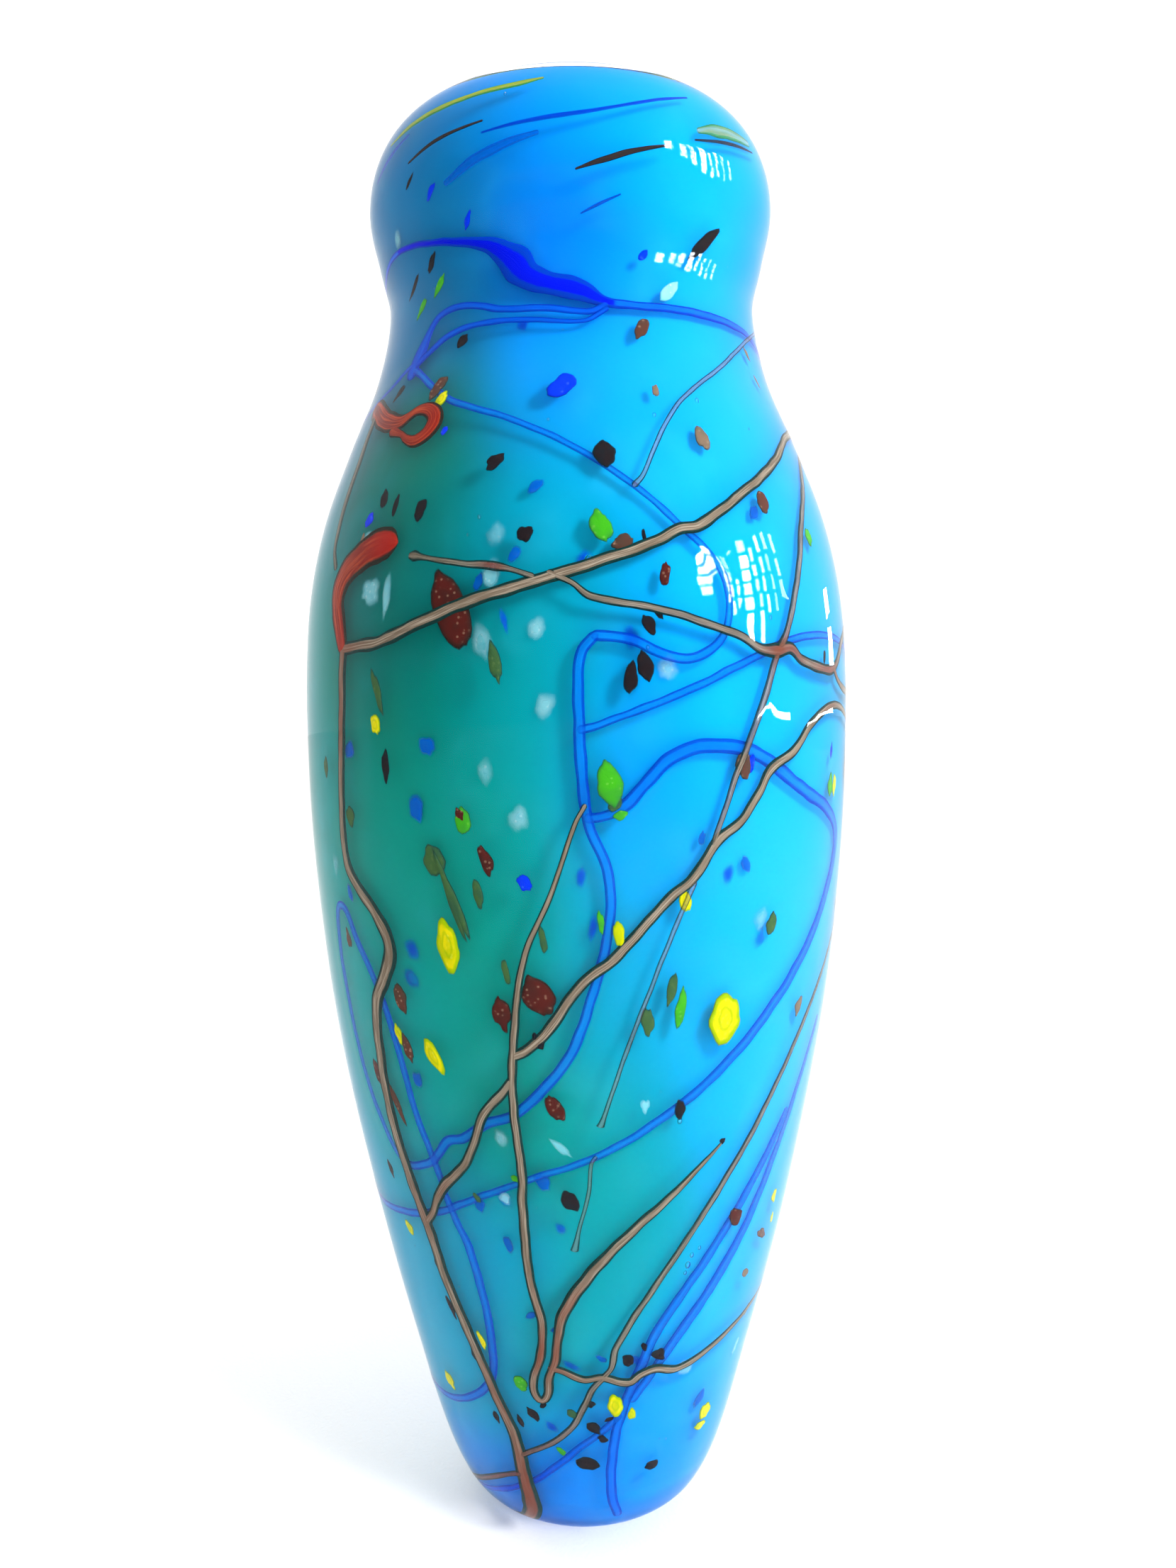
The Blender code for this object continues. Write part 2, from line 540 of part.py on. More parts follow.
def main():
    clear_scene()
    collection = bpy.data.collections.new(OBJECT_NAME)
    bpy.context.scene.collection.children.link(collection)
    materials = {name: make_material(name) for name in COLOURS}
    make_bubble(materials["blue_bubble"], collection)
    make_casing(materials["clear_glass"], collection)
    for name, path in BLUE_THREADS.items():
        make_thread(name, path, BLUE_LAYER, BLUE_THICKNESS, materials["blue_thread"], collection)
    for name, path in BROWN_THREADS.items():
        make_thread(name, path, BROWN_LAYER, BROWN_THICKNESS, materials["brown_thread"], collection)
    for name, path in RED_THREADS.items():
        make_thread(name, path, BROWN_LAYER, BROWN_THICKNESS, materials["red_thread"], collection)
    for name, (kind, path) in STREAKS.items():
        make_thread(name, path, BROWN_LAYER, BROWN_THICKNESS, materials[kind], collection)
    for name, (kind, *shape) in LOWER_CHIPS.items():
        make_chip(name, shape, BLUE_LAYER, BLUE_THICKNESS, materials[kind], collection)
    for name, (kind, *shape) in CHIPS.items():
        make_chip(name, shape, BROWN_LAYER, BROWN_THICKNESS, materials[kind], collection)


main()
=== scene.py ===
import math
import random
from bisect import bisect_left

import bpy
from mathutils import Matrix, Vector, kdtree, noise
from mathutils.geometry import interpolate_bezier


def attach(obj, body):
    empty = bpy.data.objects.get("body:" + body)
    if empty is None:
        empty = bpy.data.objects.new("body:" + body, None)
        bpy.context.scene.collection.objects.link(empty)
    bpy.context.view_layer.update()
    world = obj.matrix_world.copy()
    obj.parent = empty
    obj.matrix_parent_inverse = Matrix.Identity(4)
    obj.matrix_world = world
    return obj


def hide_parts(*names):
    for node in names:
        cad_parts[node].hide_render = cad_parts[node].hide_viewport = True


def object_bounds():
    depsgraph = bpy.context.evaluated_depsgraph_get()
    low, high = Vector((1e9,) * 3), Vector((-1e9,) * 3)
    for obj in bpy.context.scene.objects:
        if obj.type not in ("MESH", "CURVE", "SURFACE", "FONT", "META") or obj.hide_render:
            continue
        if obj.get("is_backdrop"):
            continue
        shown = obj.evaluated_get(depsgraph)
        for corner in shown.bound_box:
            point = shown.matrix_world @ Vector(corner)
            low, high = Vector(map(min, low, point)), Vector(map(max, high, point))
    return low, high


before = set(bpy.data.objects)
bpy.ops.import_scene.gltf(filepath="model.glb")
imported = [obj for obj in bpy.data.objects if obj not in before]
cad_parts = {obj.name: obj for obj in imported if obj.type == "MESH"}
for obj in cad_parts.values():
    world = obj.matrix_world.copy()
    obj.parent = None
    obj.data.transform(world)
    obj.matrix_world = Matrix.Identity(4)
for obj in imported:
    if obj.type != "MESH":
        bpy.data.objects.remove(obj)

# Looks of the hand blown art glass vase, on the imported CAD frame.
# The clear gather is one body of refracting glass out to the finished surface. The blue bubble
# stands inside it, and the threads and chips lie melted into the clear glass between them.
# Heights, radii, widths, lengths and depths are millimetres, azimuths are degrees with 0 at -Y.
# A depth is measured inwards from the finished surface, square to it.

CAD_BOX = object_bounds()
MM = 0.001

# Driving dimensions of the finished outer surface, in millimetres.
FOOT_CORNER = [(24.0, 0.0), (29.0, 3.0), (35.0, 8.0)]
TAPER_RADIUS = 35.0
BELLY_RADIUS = 75.0
BELLY_HEIGHT = 220.0
NECK_RADIUS = 50.0
NECK_HEIGHT = 334.0
HEAD_RADIUS = 55.0
HEAD_HEIGHT = 360.0
MOUTH_RADIUS = 39.0
CREST_HEIGHT = 382.0
SHOULDER_FULLNESS = 1.6
BODY_HEIGHTS = (22.0, 50.0, 85.0, 120.0, 155.0, 190.0)
SHOULDER_SPANS = 6
CREST_SPANS = 3


def wall_outline():
    """Radius and height of the outer surface, from the edge of the foot to the crest of the lip."""
    points = list(FOOT_CORNER)
    for height in BODY_HEIGHTS:
        swell = math.sin(math.pi / 2 * height / BELLY_HEIGHT)
        points.append((TAPER_RADIUS + (BELLY_RADIUS - TAPER_RADIUS) * swell, height))
    for k in range(SHOULDER_SPANS):
        part = k / SHOULDER_SPANS
        kept = (1 + math.cos(math.pi * part ** SHOULDER_FULLNESS)) / 2
        height = BELLY_HEIGHT + (NECK_HEIGHT - BELLY_HEIGHT) * part
        points.append((NECK_RADIUS + (BELLY_RADIUS - NECK_RADIUS) * kept, height))
    points.append((NECK_RADIUS, NECK_HEIGHT))
    points.append(((NECK_RADIUS + HEAD_RADIUS) / 2, (NECK_HEIGHT + HEAD_HEIGHT) / 2))
    for k in range(CREST_SPANS + 1):
        angle = math.pi / 2 * k / CREST_SPANS
        radius = MOUTH_RADIUS + (HEAD_RADIUS - MOUTH_RADIUS) * math.cos(angle)
        points.append((radius, HEAD_HEIGHT + (CREST_HEIGHT - HEAD_HEIGHT) * math.sin(angle)))
    return points


OUTLINE = wall_outline()
OUTLINE_STEPS = 24
FOOT_EDGE = 0.8

BUBBLE_OUTER = 4.6
BUBBLE_INNER = 6.6
HIDDEN_DEPTH = 5.6
SHOULDER_OF_BASE = 17.0
BUBBLE_FLOOR = 7.0
FLOOR_THICKNESS = 2.0
CLEAR_LIP = 4.0
LIP_STEPS = 14
BASE_STEPS = 14

CASING_TURN = 320
BUBBLE_TURN = 224
RING_SPACING = 1.6
THREAD_RISE = 0.13

# Threads: azimuth, height and width along each thread, as the CAD model has them.
BROWN_THREADS = {
    "left_trunk_thread": [
        (-49.7, 241, 3.4), (-50, 228, 3.2), (-51.5, 202, 3.0), (-51, 190, 3.4), (-48, 184.5, 3.6),
        (-42.5, 178, 3.9), (-39.3, 170, 4.6), (-42, 162, 4.4), (-45.5, 155, 4.2), (-47, 142, 4.1),
        (-46.8, 125, 4.0), (-44, 108, 4.1), (-40.8, 95, 4.1), (-38.5, 82, 3.8), (-34, 67, 3.6),
        (-28, 48, 3.6), (-24, 37, 3.9), (-23, 24, 4.8), (-23, 12, 5.6), (-28, 6.8, 4.6), (-40, 5, 2.6),
    ],
    "long_diagonal_thread": [
        (-47.3, 242.4, 3.3), (-38, 243.5, 3.3), (-20, 251, 3.2), (0, 258, 3.0), (15, 264.4, 2.8),
        (19.5, 267.4, 2.9), (23.5, 268.3, 2.9), (35, 277, 2.6), (50, 287.4, 2.5), (62, 295.6, 2.3),
        (80, 300, 2.2), (97, 296, 2.1), (112, 286, 2.0), (124, 272, 1.6),
    ],
    "bulb_twig_thread": [
        (-32, 262.9, 2.0), (-30.8, 262.7, 2.6), (-29, 262.2, 1.6), (-20, 260, 1.7),
        (-14.5, 259.2, 2.2), (-11, 258.1, 1.4),
    ],
    "right_junction_thread": [
        (-0.4, 254.9, 1.5), (3, 251.8, 1.9), (15, 249, 2.0), (27, 244.8, 2.2), (31, 243.3, 2.2),
        (35, 240.7, 2.5), (39.5, 240.2, 3.6), (43.5, 240.9, 3.1), (47, 238.2, 2.8), (58, 236, 2.8),
        (63, 237.6, 2.5), (69, 244, 2.4), (77, 247.5, 2.3), (86, 244, 2.2), (94, 236, 2.0),
    ],
    "right_eye_thread": [
        (64, 233.4, 1.8), (70, 231.2, 2.2), (80, 230.6, 2.2), (88, 232.6, 2.0), (91.5, 234.6, 1.6),
    ],
    "right_upper_thread": [
        (42.6, 244.6, 2.2), (47, 256.7, 2.3), (53, 271.7, 2.3), (60, 282, 2.2), (68, 290.4, 2.2),
        (76, 293.4, 2.1), (85, 291.4, 2.1), (93, 283, 2.0), (99, 269, 1.9), (103, 255, 1.6),
    ],
    "right_descending_thread": [
        (38.5, 236.4, 2.2), (36.5, 230, 2.2), (32.5, 219, 2.1), (29.5, 211, 1.9), (26.3, 200.6, 1.6),
    ],
    "thin_descending_thread": [
        (20.1, 184, 1.4), (17, 175, 1.3), (11.5, 157, 1.2), (8.5, 146.7, 1.2), (4.8, 132.6, 1.2),
        (4, 129.4, 2.0),
    ],
    "short_bulb_thread": [
        (2, 119.8, 1.0), (1.4, 112, 1.1), (-0.8, 102, 1.1), (-1.8, 96.4, 2.0),
    ],
    "second_diagonal_thread": [
        (74, 224, 1.6), (64, 227, 2.1), (57, 226.4, 2.4), (50, 222.4, 2.6), (44.5, 216.4, 2.7),
        (38, 212.4, 2.8), (35, 207, 2.7), (31, 200.8, 2.6), (26, 196.6, 2.8), (20.5, 187.4, 2.8),
        (17, 184.4, 2.7), (6, 170, 2.8), (0, 164, 2.8), (-6, 153.4, 2.8), (-10.3, 148.4, 2.8),
    ],
    "lower_diagonal_thread": [
        (-16, 137, 2.5), (-20, 131.7, 2.6), (-23, 124, 2.5), (-26, 117.4, 2.7), (-32, 110.5, 3.0),
        (-35.5, 105.8, 2.8), (-38, 100.8, 2.5),
    ],
    "hairpin_thread": [
        (-0.3, 202, 1.2), (-5, 185, 1.4), (-10, 170.8, 1.7), (-12.4, 154, 2.2), (-13.7, 136, 2.4),
        (-12.8, 116, 2.5), (-13.3, 108, 2.6), (-13, 88, 2.6), (-10.9, 74, 2.5), (-12, 65, 2.5),
        (-14.8, 57, 2.5), (-15, 53, 2.5), (-13, 50.8, 2.5), (-10.9, 53, 2.5), (-10.1, 58, 2.5),
        (-8, 64, 2.6), (-6.6, 72, 2.7), (-5, 78.4, 3.2), (-1, 85.4, 3.5), (8, 97.2, 3.1),
        (20, 109, 2.4), (31.3, 120.4, 1.0),
    ],
    "low_cross_thread": [
        (-6.1, 60.6, 2.3), (0, 58.1, 2.5), (5, 58.6, 2.4), (13, 56, 2.8), (16.5, 58.2, 2.8),
        (21, 58.9, 2.8), (29, 57, 2.6), (45, 60.8, 2.2), (58, 64, 2.0), (74, 67, 1.8), (90, 74, 1.5),
    ],
    "right_rising_thread": [
        (7.6, 61.4, 1.8), (8.8, 67.5, 2.0), (14, 77.5, 2.1), (28, 100, 2.1), (41, 121, 2.2),
        (50, 136.7, 2.0), (60, 152, 1.9), (72, 166, 1.7), (86, 177, 1.4),
    ],
    "foot_twig_thread": [
        (2.4, 55.2, 2.0), (0, 50, 2.0), (-4, 43, 2.0), (-10, 38, 2.0), (-19.2, 33.2, 1.8),
    ],
    "foot_left_thread": [
        (-27.6, 23.9, 1.8), (-35, 20.8, 1.9), (-55, 12.4, 2.0), (-70, 8.6, 2.0), (-90, 7.4, 1.7),
        (-108, 11, 1.4),
    ],
    "thin_arch_thread": [
        (11.6, 277.2, 1.6), (13.4, 279.6, 1.2), (19, 291, 1.2), (26, 299.8, 1.2), (40, 309.4, 1.2),
        (60, 321, 1.1), (80, 328, 1.0), (100, 330, 0.9),
    ],
    "left_edge_thread": [
        (-57.6, 299, 2.4), (-57, 286, 2.5), (-57.3, 273, 2.2), (-57, 267.4, 1.8),
    ],
    "back_trunk_thread": [
        (150, 300, 2.6), (147, 282, 2.9), (157, 252, 3.2), (159, 228, 3.6), (149, 204, 3.8),
        (147, 184, 3.6), (157, 158, 3.8), (159, 136, 3.8), (152, 104, 3.7), (154, 66, 3.6),
        (151, 36, 4.0), (150, 12, 5.0),
    ],
    "back_right_thread": [
        (144, 208.6, 2.4), (134, 215, 2.5), (121, 225, 2.4), (112, 236, 2.1), (108, 246, 1.6),
    ],
    "back_rising_thread": [
        (163, 244, 2.4), (176, 250, 2.6), (192, 254, 2.5), (206, 262, 2.2), (221, 275, 2.0),
        (232, 291, 1.6),
    ],
    "back_falling_thread": [
        (164, 134.6, 2.4), (176, 128, 2.5), (190, 119, 2.3), (204, 105, 2.3), (216, 86, 2.1),
        (226, 66, 1.7),
    ],
}
RED_THREADS = {
    "red_lasso_thread": [
        (-61, 305, 4.2), (-56, 302.2, 4.1), (-50, 298.7, 3.8), (-44, 297.2, 3.2), (-41, 298, 2.2),
        (-38, 299.2, 2.1), (-34.6, 298.8, 2.8), (-32.2, 296, 3.4), (-33.2, 292.8, 3.2),
        (-36.6, 291.2, 2.4), (-39.6, 292.2, 1.6), (-41, 293.4, 1.2),
    ],
    "red_club_thread": [
        (-35.7, 266.4, 4.4), (-37.6, 266.6, 6.6), (-42, 265.8, 7.4), (-47, 263.4, 7.0), (-51, 260, 6.6),
        (-52.6, 255, 5.8), (-51.2, 248, 5.0), (-50, 243.6, 4.0),
    ],
}
BLUE_THREADS = {
    "neck_blue_thread": [
        (-84, 341, 1.0), (-62, 344, 1.1), (-40, 341.4, 1.4), (-28, 339, 2.0), (-22, 337.4, 3.4),
        (-16, 333.4, 6.4), (-11, 329.6, 5.2), (-3, 327.4, 4.4), (3, 326, 4.4), (8.5, 323.6, 2.4),
        (14, 322.9, 1.8), (40, 323.6, 1.8), (62, 323.4, 1.5), (80, 320, 1.3), (96, 314, 1.1),
    ],
    "neck_loop_thread": [
        (-46.8, 311.8, 4.0), (-45.2, 316, 4.2), (-43.2, 320.4, 2.4), (-40, 323.9, 2.0),
        (-33, 325.1, 1.8), (-25, 324, 1.8), (-19, 322.5, 1.8), (-6, 321.8, 1.9), (4.6, 320.8, 1.7),
    ],
    "neck_twin_thread": [
        (-42.2, 314.6, 1.9), (-36, 317.9, 1.9), (-28, 319.5, 1.7), (-14, 319.4, 1.5), (3, 318.4, 1.2),
    ],
    "neck_left_thread": [
        (-49.8, 311.8, 1.5), (-56, 308.3, 1.3), (-70, 304, 1.2), (-88, 303, 1.0),
    ],
    "shoulder_blue_thread": [
        (-43, 309.9, 1.8), (-36, 305, 1.8), (-28, 300, 1.8), (-14, 294.4, 1.7), (0, 286.8, 1.7),
        (12, 277.2, 1.7), (21, 267.4, 1.8), (27, 260, 2.0), (29, 252, 2.0), (27.5, 243.6, 2.1),
        (22.5, 238.8, 2.3), (17, 238.6, 2.4), (9, 242.6, 2.5), (3.2, 243.4, 2.5),
    ],
    "blue_drop_thread": [
        (1, 239.6, 2.5), (0.4, 230, 2.7), (0.9, 212, 2.8), (2, 201, 2.5), (5.2, 190.6, 2.5),
        (5.6, 179, 2.5), (3, 164, 2.5), (-1.6, 148, 2.6), (-7, 139, 2.6), (-14, 131.4, 2.6),
        (-20, 128.6, 2.6), (-26, 123.8, 2.6), (-30, 122.4, 2.6), (-33.2, 118.4, 2.4),
    ],
    "left_blue_loop_thread": [
        (-37.7, 114.2, 2.2), (-45, 112.4, 2.2), (-50.5, 118.6, 2.0), (-55.8, 133, 2.0),
        (-58.6, 154, 2.0), (-59, 171, 2.0), (-56, 178, 2.2), (-51, 170.6, 2.2), (-44.6, 158, 2.2),
        (-41, 144, 2.2), (-38.4, 128, 2.1), (-35.4, 117, 2.2), (-33.1, 108, 2.2),
    ],
    "left_blue_drop_thread": [
        (-31.6, 101, 2.2), (-29, 93, 2.5), (-27, 79, 2.5), (-26.8, 67, 2.5), (-28.8, 55, 2.4),
        (-36, 47.2, 2.3), (-50, 40.6, 2.1), (-70, 37.6, 1.8), (-90, 39, 1.5), (-110, 46, 1.2),
    ],
    "blue_arch_thread": [
        (4.4, 203, 2.2), (8, 204.8, 2.9), (12, 210, 3.1), (17, 216, 3.3), (24, 218.3, 3.4),
        (34, 216.5, 3.5), (48, 207, 3.5), (60, 200.4, 3.4), (65.4, 194.6, 3.3), (65.2, 186, 3.3),
        (57, 170.8, 3.2), (45, 156, 3.1), (30, 140.3, 2.8), (18, 130.6, 2.4), (4, 121.6, 2.0),
        (-12, 114.6, 1.8), (-28, 106, 2.0), (-36, 101.5, 2.2), (-50, 96.8, 2.2), (-70, 94, 2.0),
        (-96, 102, 1.5),
    ],
    "box_diagonal_thread": [
        (3.7, 223.4, 1.8), (20, 231, 2.0), (36, 239.4, 2.0), (47, 243.6, 2.0), (62, 244.4, 1.9),
        (80, 240, 1.6), (97, 230, 1.3),
    ],
    "inner_fan_thread": [
        (55, 122.4, 2.2), (49.6, 113, 2.8), (35, 91, 3.0), (21, 71, 3.0), (16.6, 60, 3.0),
        (12.6, 49, 2.9), (10.2, 40, 2.8), (9.4, 26, 2.8), (10.6, 17, 2.7), (14, 10, 2.3),
    ],
    "outer_fan_thread": [
        (67, 144, 1.9), (61.6, 132, 2.2), (54, 113, 2.9), (46.5, 95, 3.3), (38, 81, 3.5),
        (27, 66.5, 3.3), (18.2, 54.4, 2.6),
    ],
    "foot_blue_thread": [
        (7, 41.8, 2.2), (-2, 35.4, 2.2), (-18, 23.6, 2.0), (-35, 15.6, 2.0), (-52, 10.6, 1.7),
        (-70, 10, 1.3),
    ],
    "back_blue_loop_thread": [
        (198, 224, 2.2), (189, 212, 2.7), (187, 196, 2.8), (196, 178, 2.9), (212, 168, 3.0),
        (230, 171, 2.8), (244, 184, 2.4), (251, 200, 1.9),
    ],
    "back_blue_low_thread": [
        (106, 120, 2.0), (124, 124, 2.4), (146, 118, 2.6), (168, 103, 2.6), (188, 83, 2.5),
        (208, 71, 2.2), (228, 68, 1.7),
    ],
    "back_blue_neck_thread": [
        (112, 304, 1.5), (130, 308, 1.9), (144, 317, 3.4), (156, 322, 4.6), (167, 321, 3.8),
        (180, 316, 2.2), (200, 311, 1.7), (224, 306, 1.3),
    ],
}
STREAKS = {
    "yellow_head_streak": [
        (-57, 369.4, 0.8), (-45, 371, 1.8), (-25, 372.1, 1.5), (-13, 372.8, 1.7), (-7, 373.6, 0.8),
    ],
    "black_head_streak": [
        (2, 352, 0.5), (8, 353.8, 1.3), (15, 356, 1.3), (25.4, 358.8, 0.5),
    ],
}

# The chips that are CAD nodes: glass, azimuth, height, length, width and turn of the length.
CHIPS = {
    "bone_chip": ("maroon", -22.6, 249.6, 16.5, 6.4, -66),
    "yellow_left_chip": ("yellow", -25, 172.8, 13.0, 6.3, -80),
    "yellow_disc_chip": ("yellow", 29.4, 153.6, 12.5, 9.8, -80),
    "yellow_slant_chip": ("yellow", -30.6, 144.6, 10.4, 4.0, -64),
    "yellow_foot_chip": ("yellow", 9.3, 49.5, 7.4, 4.4, -76),
    "lime_long_chip": ("green", 5.6, 210.6, 11.0, 5.6, -80),
    "speckled_chip": ("maroon", -7.6, 161.4, 10.6, 6.6, -60),
    "maroon_neck_chip": ("black", 40.2, 340.2, 12.4, 3.4, 46),
    "black_cup_chip": ("black", 6.2, 284.4, 7.0, 5.0, 92),
    "black_foot_chip": ("black", 0.9, 30.8, 7.2, 4.2, -24),
    "black_box_chip": ("black", 12, 236.6, 7.2, 3.6, -78),
    "cobalt_shoulder_chip": ("cobalt", -2.2, 301.6, 8.2, 5.4, 30),
    "white_neck_chip": ("white", 28.2, 327.3, 8.4, 3.0, 42),
}


# Where a thread runs on into its neighbour, past the gap that the CAD model keeps: the added
# first and last point of its path.
JOINS = {
    "left_trunk_thread": ((-49.6, 243.6, 3.6), None),
    "long_diagonal_thread": ((-49.9, 242.2, 3.5), None),
    "bulb_twig_thread": (None, (-7.4, 256.6, 1.6)),
    "right_junction_thread": ((-4.4, 257.3, 1.8), None),
    "right_eye_thread": ((61.2, 236.2, 1.8), None),
    "right_upper_thread": ((40.4, 240.8, 2.6), None),
    "right_descending_thread": ((39.8, 240, 2.4), (24.8, 195.6, 1.6)),
    "thin_descending_thread": ((21.2, 187, 1.5), None),
    "short_bulb_thread": ((2.8, 121.4, 1.1), None),
    "second_diagonal_thread": (None, (-13.2, 146.6, 2.8)),
    "lower_diagonal_thread": ((-13.6, 140.6, 2.6), (-41, 97.4, 3.0)),
    "hairpin_thread": ((1.2, 205.4, 1.3), None),
    "low_cross_thread": ((-9.6, 61.4, 2.6), None),
    "right_rising_thread": ((5.6, 58.8, 2.0), None),
    "foot_twig_thread": ((5.2, 58.4, 2.2), (-22.8, 31.4, 2.2)),
    "foot_left_thread": ((-23.6, 24.8, 2.2), None),
    "left_edge_thread": ((-57.6, 302, 2.6), (-55, 262.6, 2.0)),
    "back_right_thread": ((148.4, 206, 2.6), None),
    "back_rising_thread": ((158.4, 242.8, 2.6), None),
    "back_falling_thread": ((159.2, 135.6, 2.6), None),
    "red_lasso_thread": (None, (-46, 295.6, 2.6)),
    "red_club_thread": (None, (-49.7, 241.6, 3.6)),
    "neck_loop_thread": ((-46.6, 309.6, 4.2), (9.6, 322.7, 1.8)),
    "neck_twin_thread": ((-45.8, 312.6, 2.2), (9.4, 321.6, 1.4)),
    "neck_left_thread": ((-46.4, 312.8, 2.0), None),
    "shoulder_blue_thread": ((-46.6, 311.6, 2.4), None),
    "blue_drop_thread": ((3.4, 243.4, 2.6), (-35.2, 115.6, 2.4)),
    "left_blue_loop_thread": ((-34.4, 116.6, 2.4), None),
    "left_blue_drop_thread": ((-33.4, 107, 2.2), None),
    "blue_arch_thread": ((1.6, 202.6, 2.4), None),
    "box_diagonal_thread": ((0.6, 222.4, 2.0), None),
    "outer_fan_thread": (None, (14.6, 49.6, 2.6)),
    "foot_blue_thread": ((11, 45.4, 2.4), None),
}


def joined(name, path):
    """The path with the points that join it to its neighbours."""
    first, last = JOINS.get(name, (None, None))
    return ([first] if first else []) + path + ([last] if last else [])


def smooth_curve(points, steps):
    """Points of a curve that passes smoothly through all the given points."""
    knots = [Vector(point) for point in points]
    last = len(knots) - 1
    tangents = [
        (knots[min(i + 1, last)] - knots[max(i - 1, 0)]).normalized()
        for i in range(len(knots))
    ]
    curve = []
    for i in range(last):
        reach = (knots[i + 1] - knots[i]).length / 3
        first_handle = knots[i] + tangents[i] * reach
        second_handle = knots[i + 1] - tangents[i + 1] * reach
        span = interpolate_bezier(knots[i], first_handle, second_handle, knots[i + 1], steps + 1)
        curve.extend(span[:-1])
    curve.append(knots[-1])
    return curve


WALL = smooth_curve([(radius, height, 0) for radius, height in OUTLINE], OUTLINE_STEPS)
WALL_HEIGHTS = [point.y for point in WALL]


def wall_normal(i):
    """Outward normal of the outline at one of its points."""
    run = WALL[min(i + 1, len(WALL) - 1)] - WALL[max(i - 1, 0)]
    return Vector((run.y, -run.x)).normalized()


def wall_at(height):
    """Radius of the finished outer surface at a height, and its outward normal there."""
    i = min(max(bisect_left(WALL_HEIGHTS, height), 1), len(WALL) - 1)
    low, high = WALL[i - 1], WALL[i]
    part = min(max((height - low.y) / (high.y - low.y), 0), 1)
    normal = wall_normal(i - 1).lerp(wall_normal(i), part).normalized()
    return low.x + (high.x - low.x) * part, normal


def surface_point(azimuth, height, depth):
    """A place under the finished outer surface, in millimetres."""
    radius, normal = wall_at(height)
    radius -= depth * normal.x
    angle = math.radians(azimuth)
    return Vector((radius * math.sin(angle), -radius * math.cos(angle), height - depth * normal.y))


def surface_offset(azimuth, height, across, up):
    """Azimuth and height after a move over the surface, level and then up the wall."""
    radius, normal = wall_at(height)
    return azimuth + math.degrees(across / radius), height + up * normal.x


def new_piece(name, verts, faces, material, node, slot):
    """A smooth mesh piece from points in millimetres, which rides on the vase."""
    mesh = bpy.data.meshes.new(name)
    mesh.from_pydata([Vector(vert) * MM for vert in verts], [], faces)
    mesh.polygons.foreach_set("use_smooth", [True] * len(mesh.polygons))
    mesh.materials.append(material)
    mesh.update()
    made = bpy.data.objects.new(name, mesh)
    bpy.context.scene.collection.objects.link(made)
    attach(made, "root")
    if node:
        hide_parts(node)
    return made


def paint(piece, name, values):
    """One number for each point of the piece, for its material to read."""
    layer = piece.data.attributes.new(name, "FLOAT", "POINT")
    layer.data.foreach_set("value", values)


# ---------------------------------------------------------------- materials


class Nodes:
    """Short names for the nodes that the materials are made of."""

    def __init__(self, name):
        self.material = bpy.data.materials.new(name)
        self.material.use_nodes = True
        self.tree = self.material.node_tree
        self.tree.nodes.clear()
        self.output = self.tree.nodes.new("ShaderNodeOutputMaterial")

    def add(self, kind, inputs=None, **settings):
        node = self.tree.nodes.new(kind)
        for key, value in settings.items():
            setattr(node, key, value)
        for key, value in (inputs or {}).items():
            self.feed(node.inputs[key], value)
        return node

    def feed(self, socket, value):
        if isinstance(value, bpy.types.NodeSocket):
            self.tree.links.new(value, socket)
        elif isinstance(value, tuple) and len(value) == 3 and socket.type == "RGBA":
            socket.default_value = (*value, 1.0)
        else:
            socket.default_value = value

    def attribute(self, name):
        return self.add("ShaderNodeAttribute", attribute_name=name).outputs["Fac"]

    def place(self):
        return self.add("ShaderNodeTexCoord").outputs["Object"]

    def noise(self, vector, scale, detail=2.0, distortion=0.0):
        inputs = {"Vector": vector, "Scale": scale, "Detail": detail, "Distortion": distortion}
        return self.add("ShaderNodeTexNoise", inputs).outputs["Fac"]

    def math(self, operation, first, second=0.0):
        return self.add("ShaderNodeMath", {0: first, 1: second}, operation=operation).outputs[0]

    def spread(self, value, low, high, to_low=0.0, to_high=1.0):
        """A smooth step from one number to another."""
        inputs = {"Value": value, 1: low, 2: high, 3: to_low, 4: to_high}
        return self.add("ShaderNodeMapRange", inputs, interpolation_type="SMOOTHSTEP").outputs[0]

    def combine(self, x, y, z):
        return self.add("ShaderNodeCombineXYZ", {0: x, 1: y, 2: z}).outputs[0]

    def mix(self, factor, first, second):
        node = self.add("ShaderNodeMix", {0: factor}, data_type="RGBA")
        self.feed(node.inputs[6], first)
        self.feed(node.inputs[7], second)
        return node.outputs[2]

    def bump(self, height, distance):
        return self.add("ShaderNodeBump", {"Height": height, "Distance": distance}).outputs[0]

    def surface(self, colour, roughness, bump=None, specular=0.0, **extra):
        inputs = {"Base Color": colour, "Roughness": roughness, "Specular IOR Level": specular}
        if bump:
            inputs["Normal"] = bump
        inputs.update(extra)
        return self.add("ShaderNodeBsdfPrincipled", inputs).outputs[0]

    def fade(self, shader, opacity):
        """The shader where opacity is 1, and whatever lies behind it where opacity is 0."""
        clear = self.add("ShaderNodeBsdfTransparent").outputs[0]
        return self.add("ShaderNodeMixShader", {0: opacity, 1: clear, 2: shader}).outputs[0]

    def finish(self, shader):
        self.tree.links.new(shader, self.output.inputs["Surface"])
        return self.material


# The glass bends light as real glass does, and mirrors less, so the white room doesn't veil it.
BENDING_IOR = 1.5
MIRROR_IOR = 1.21


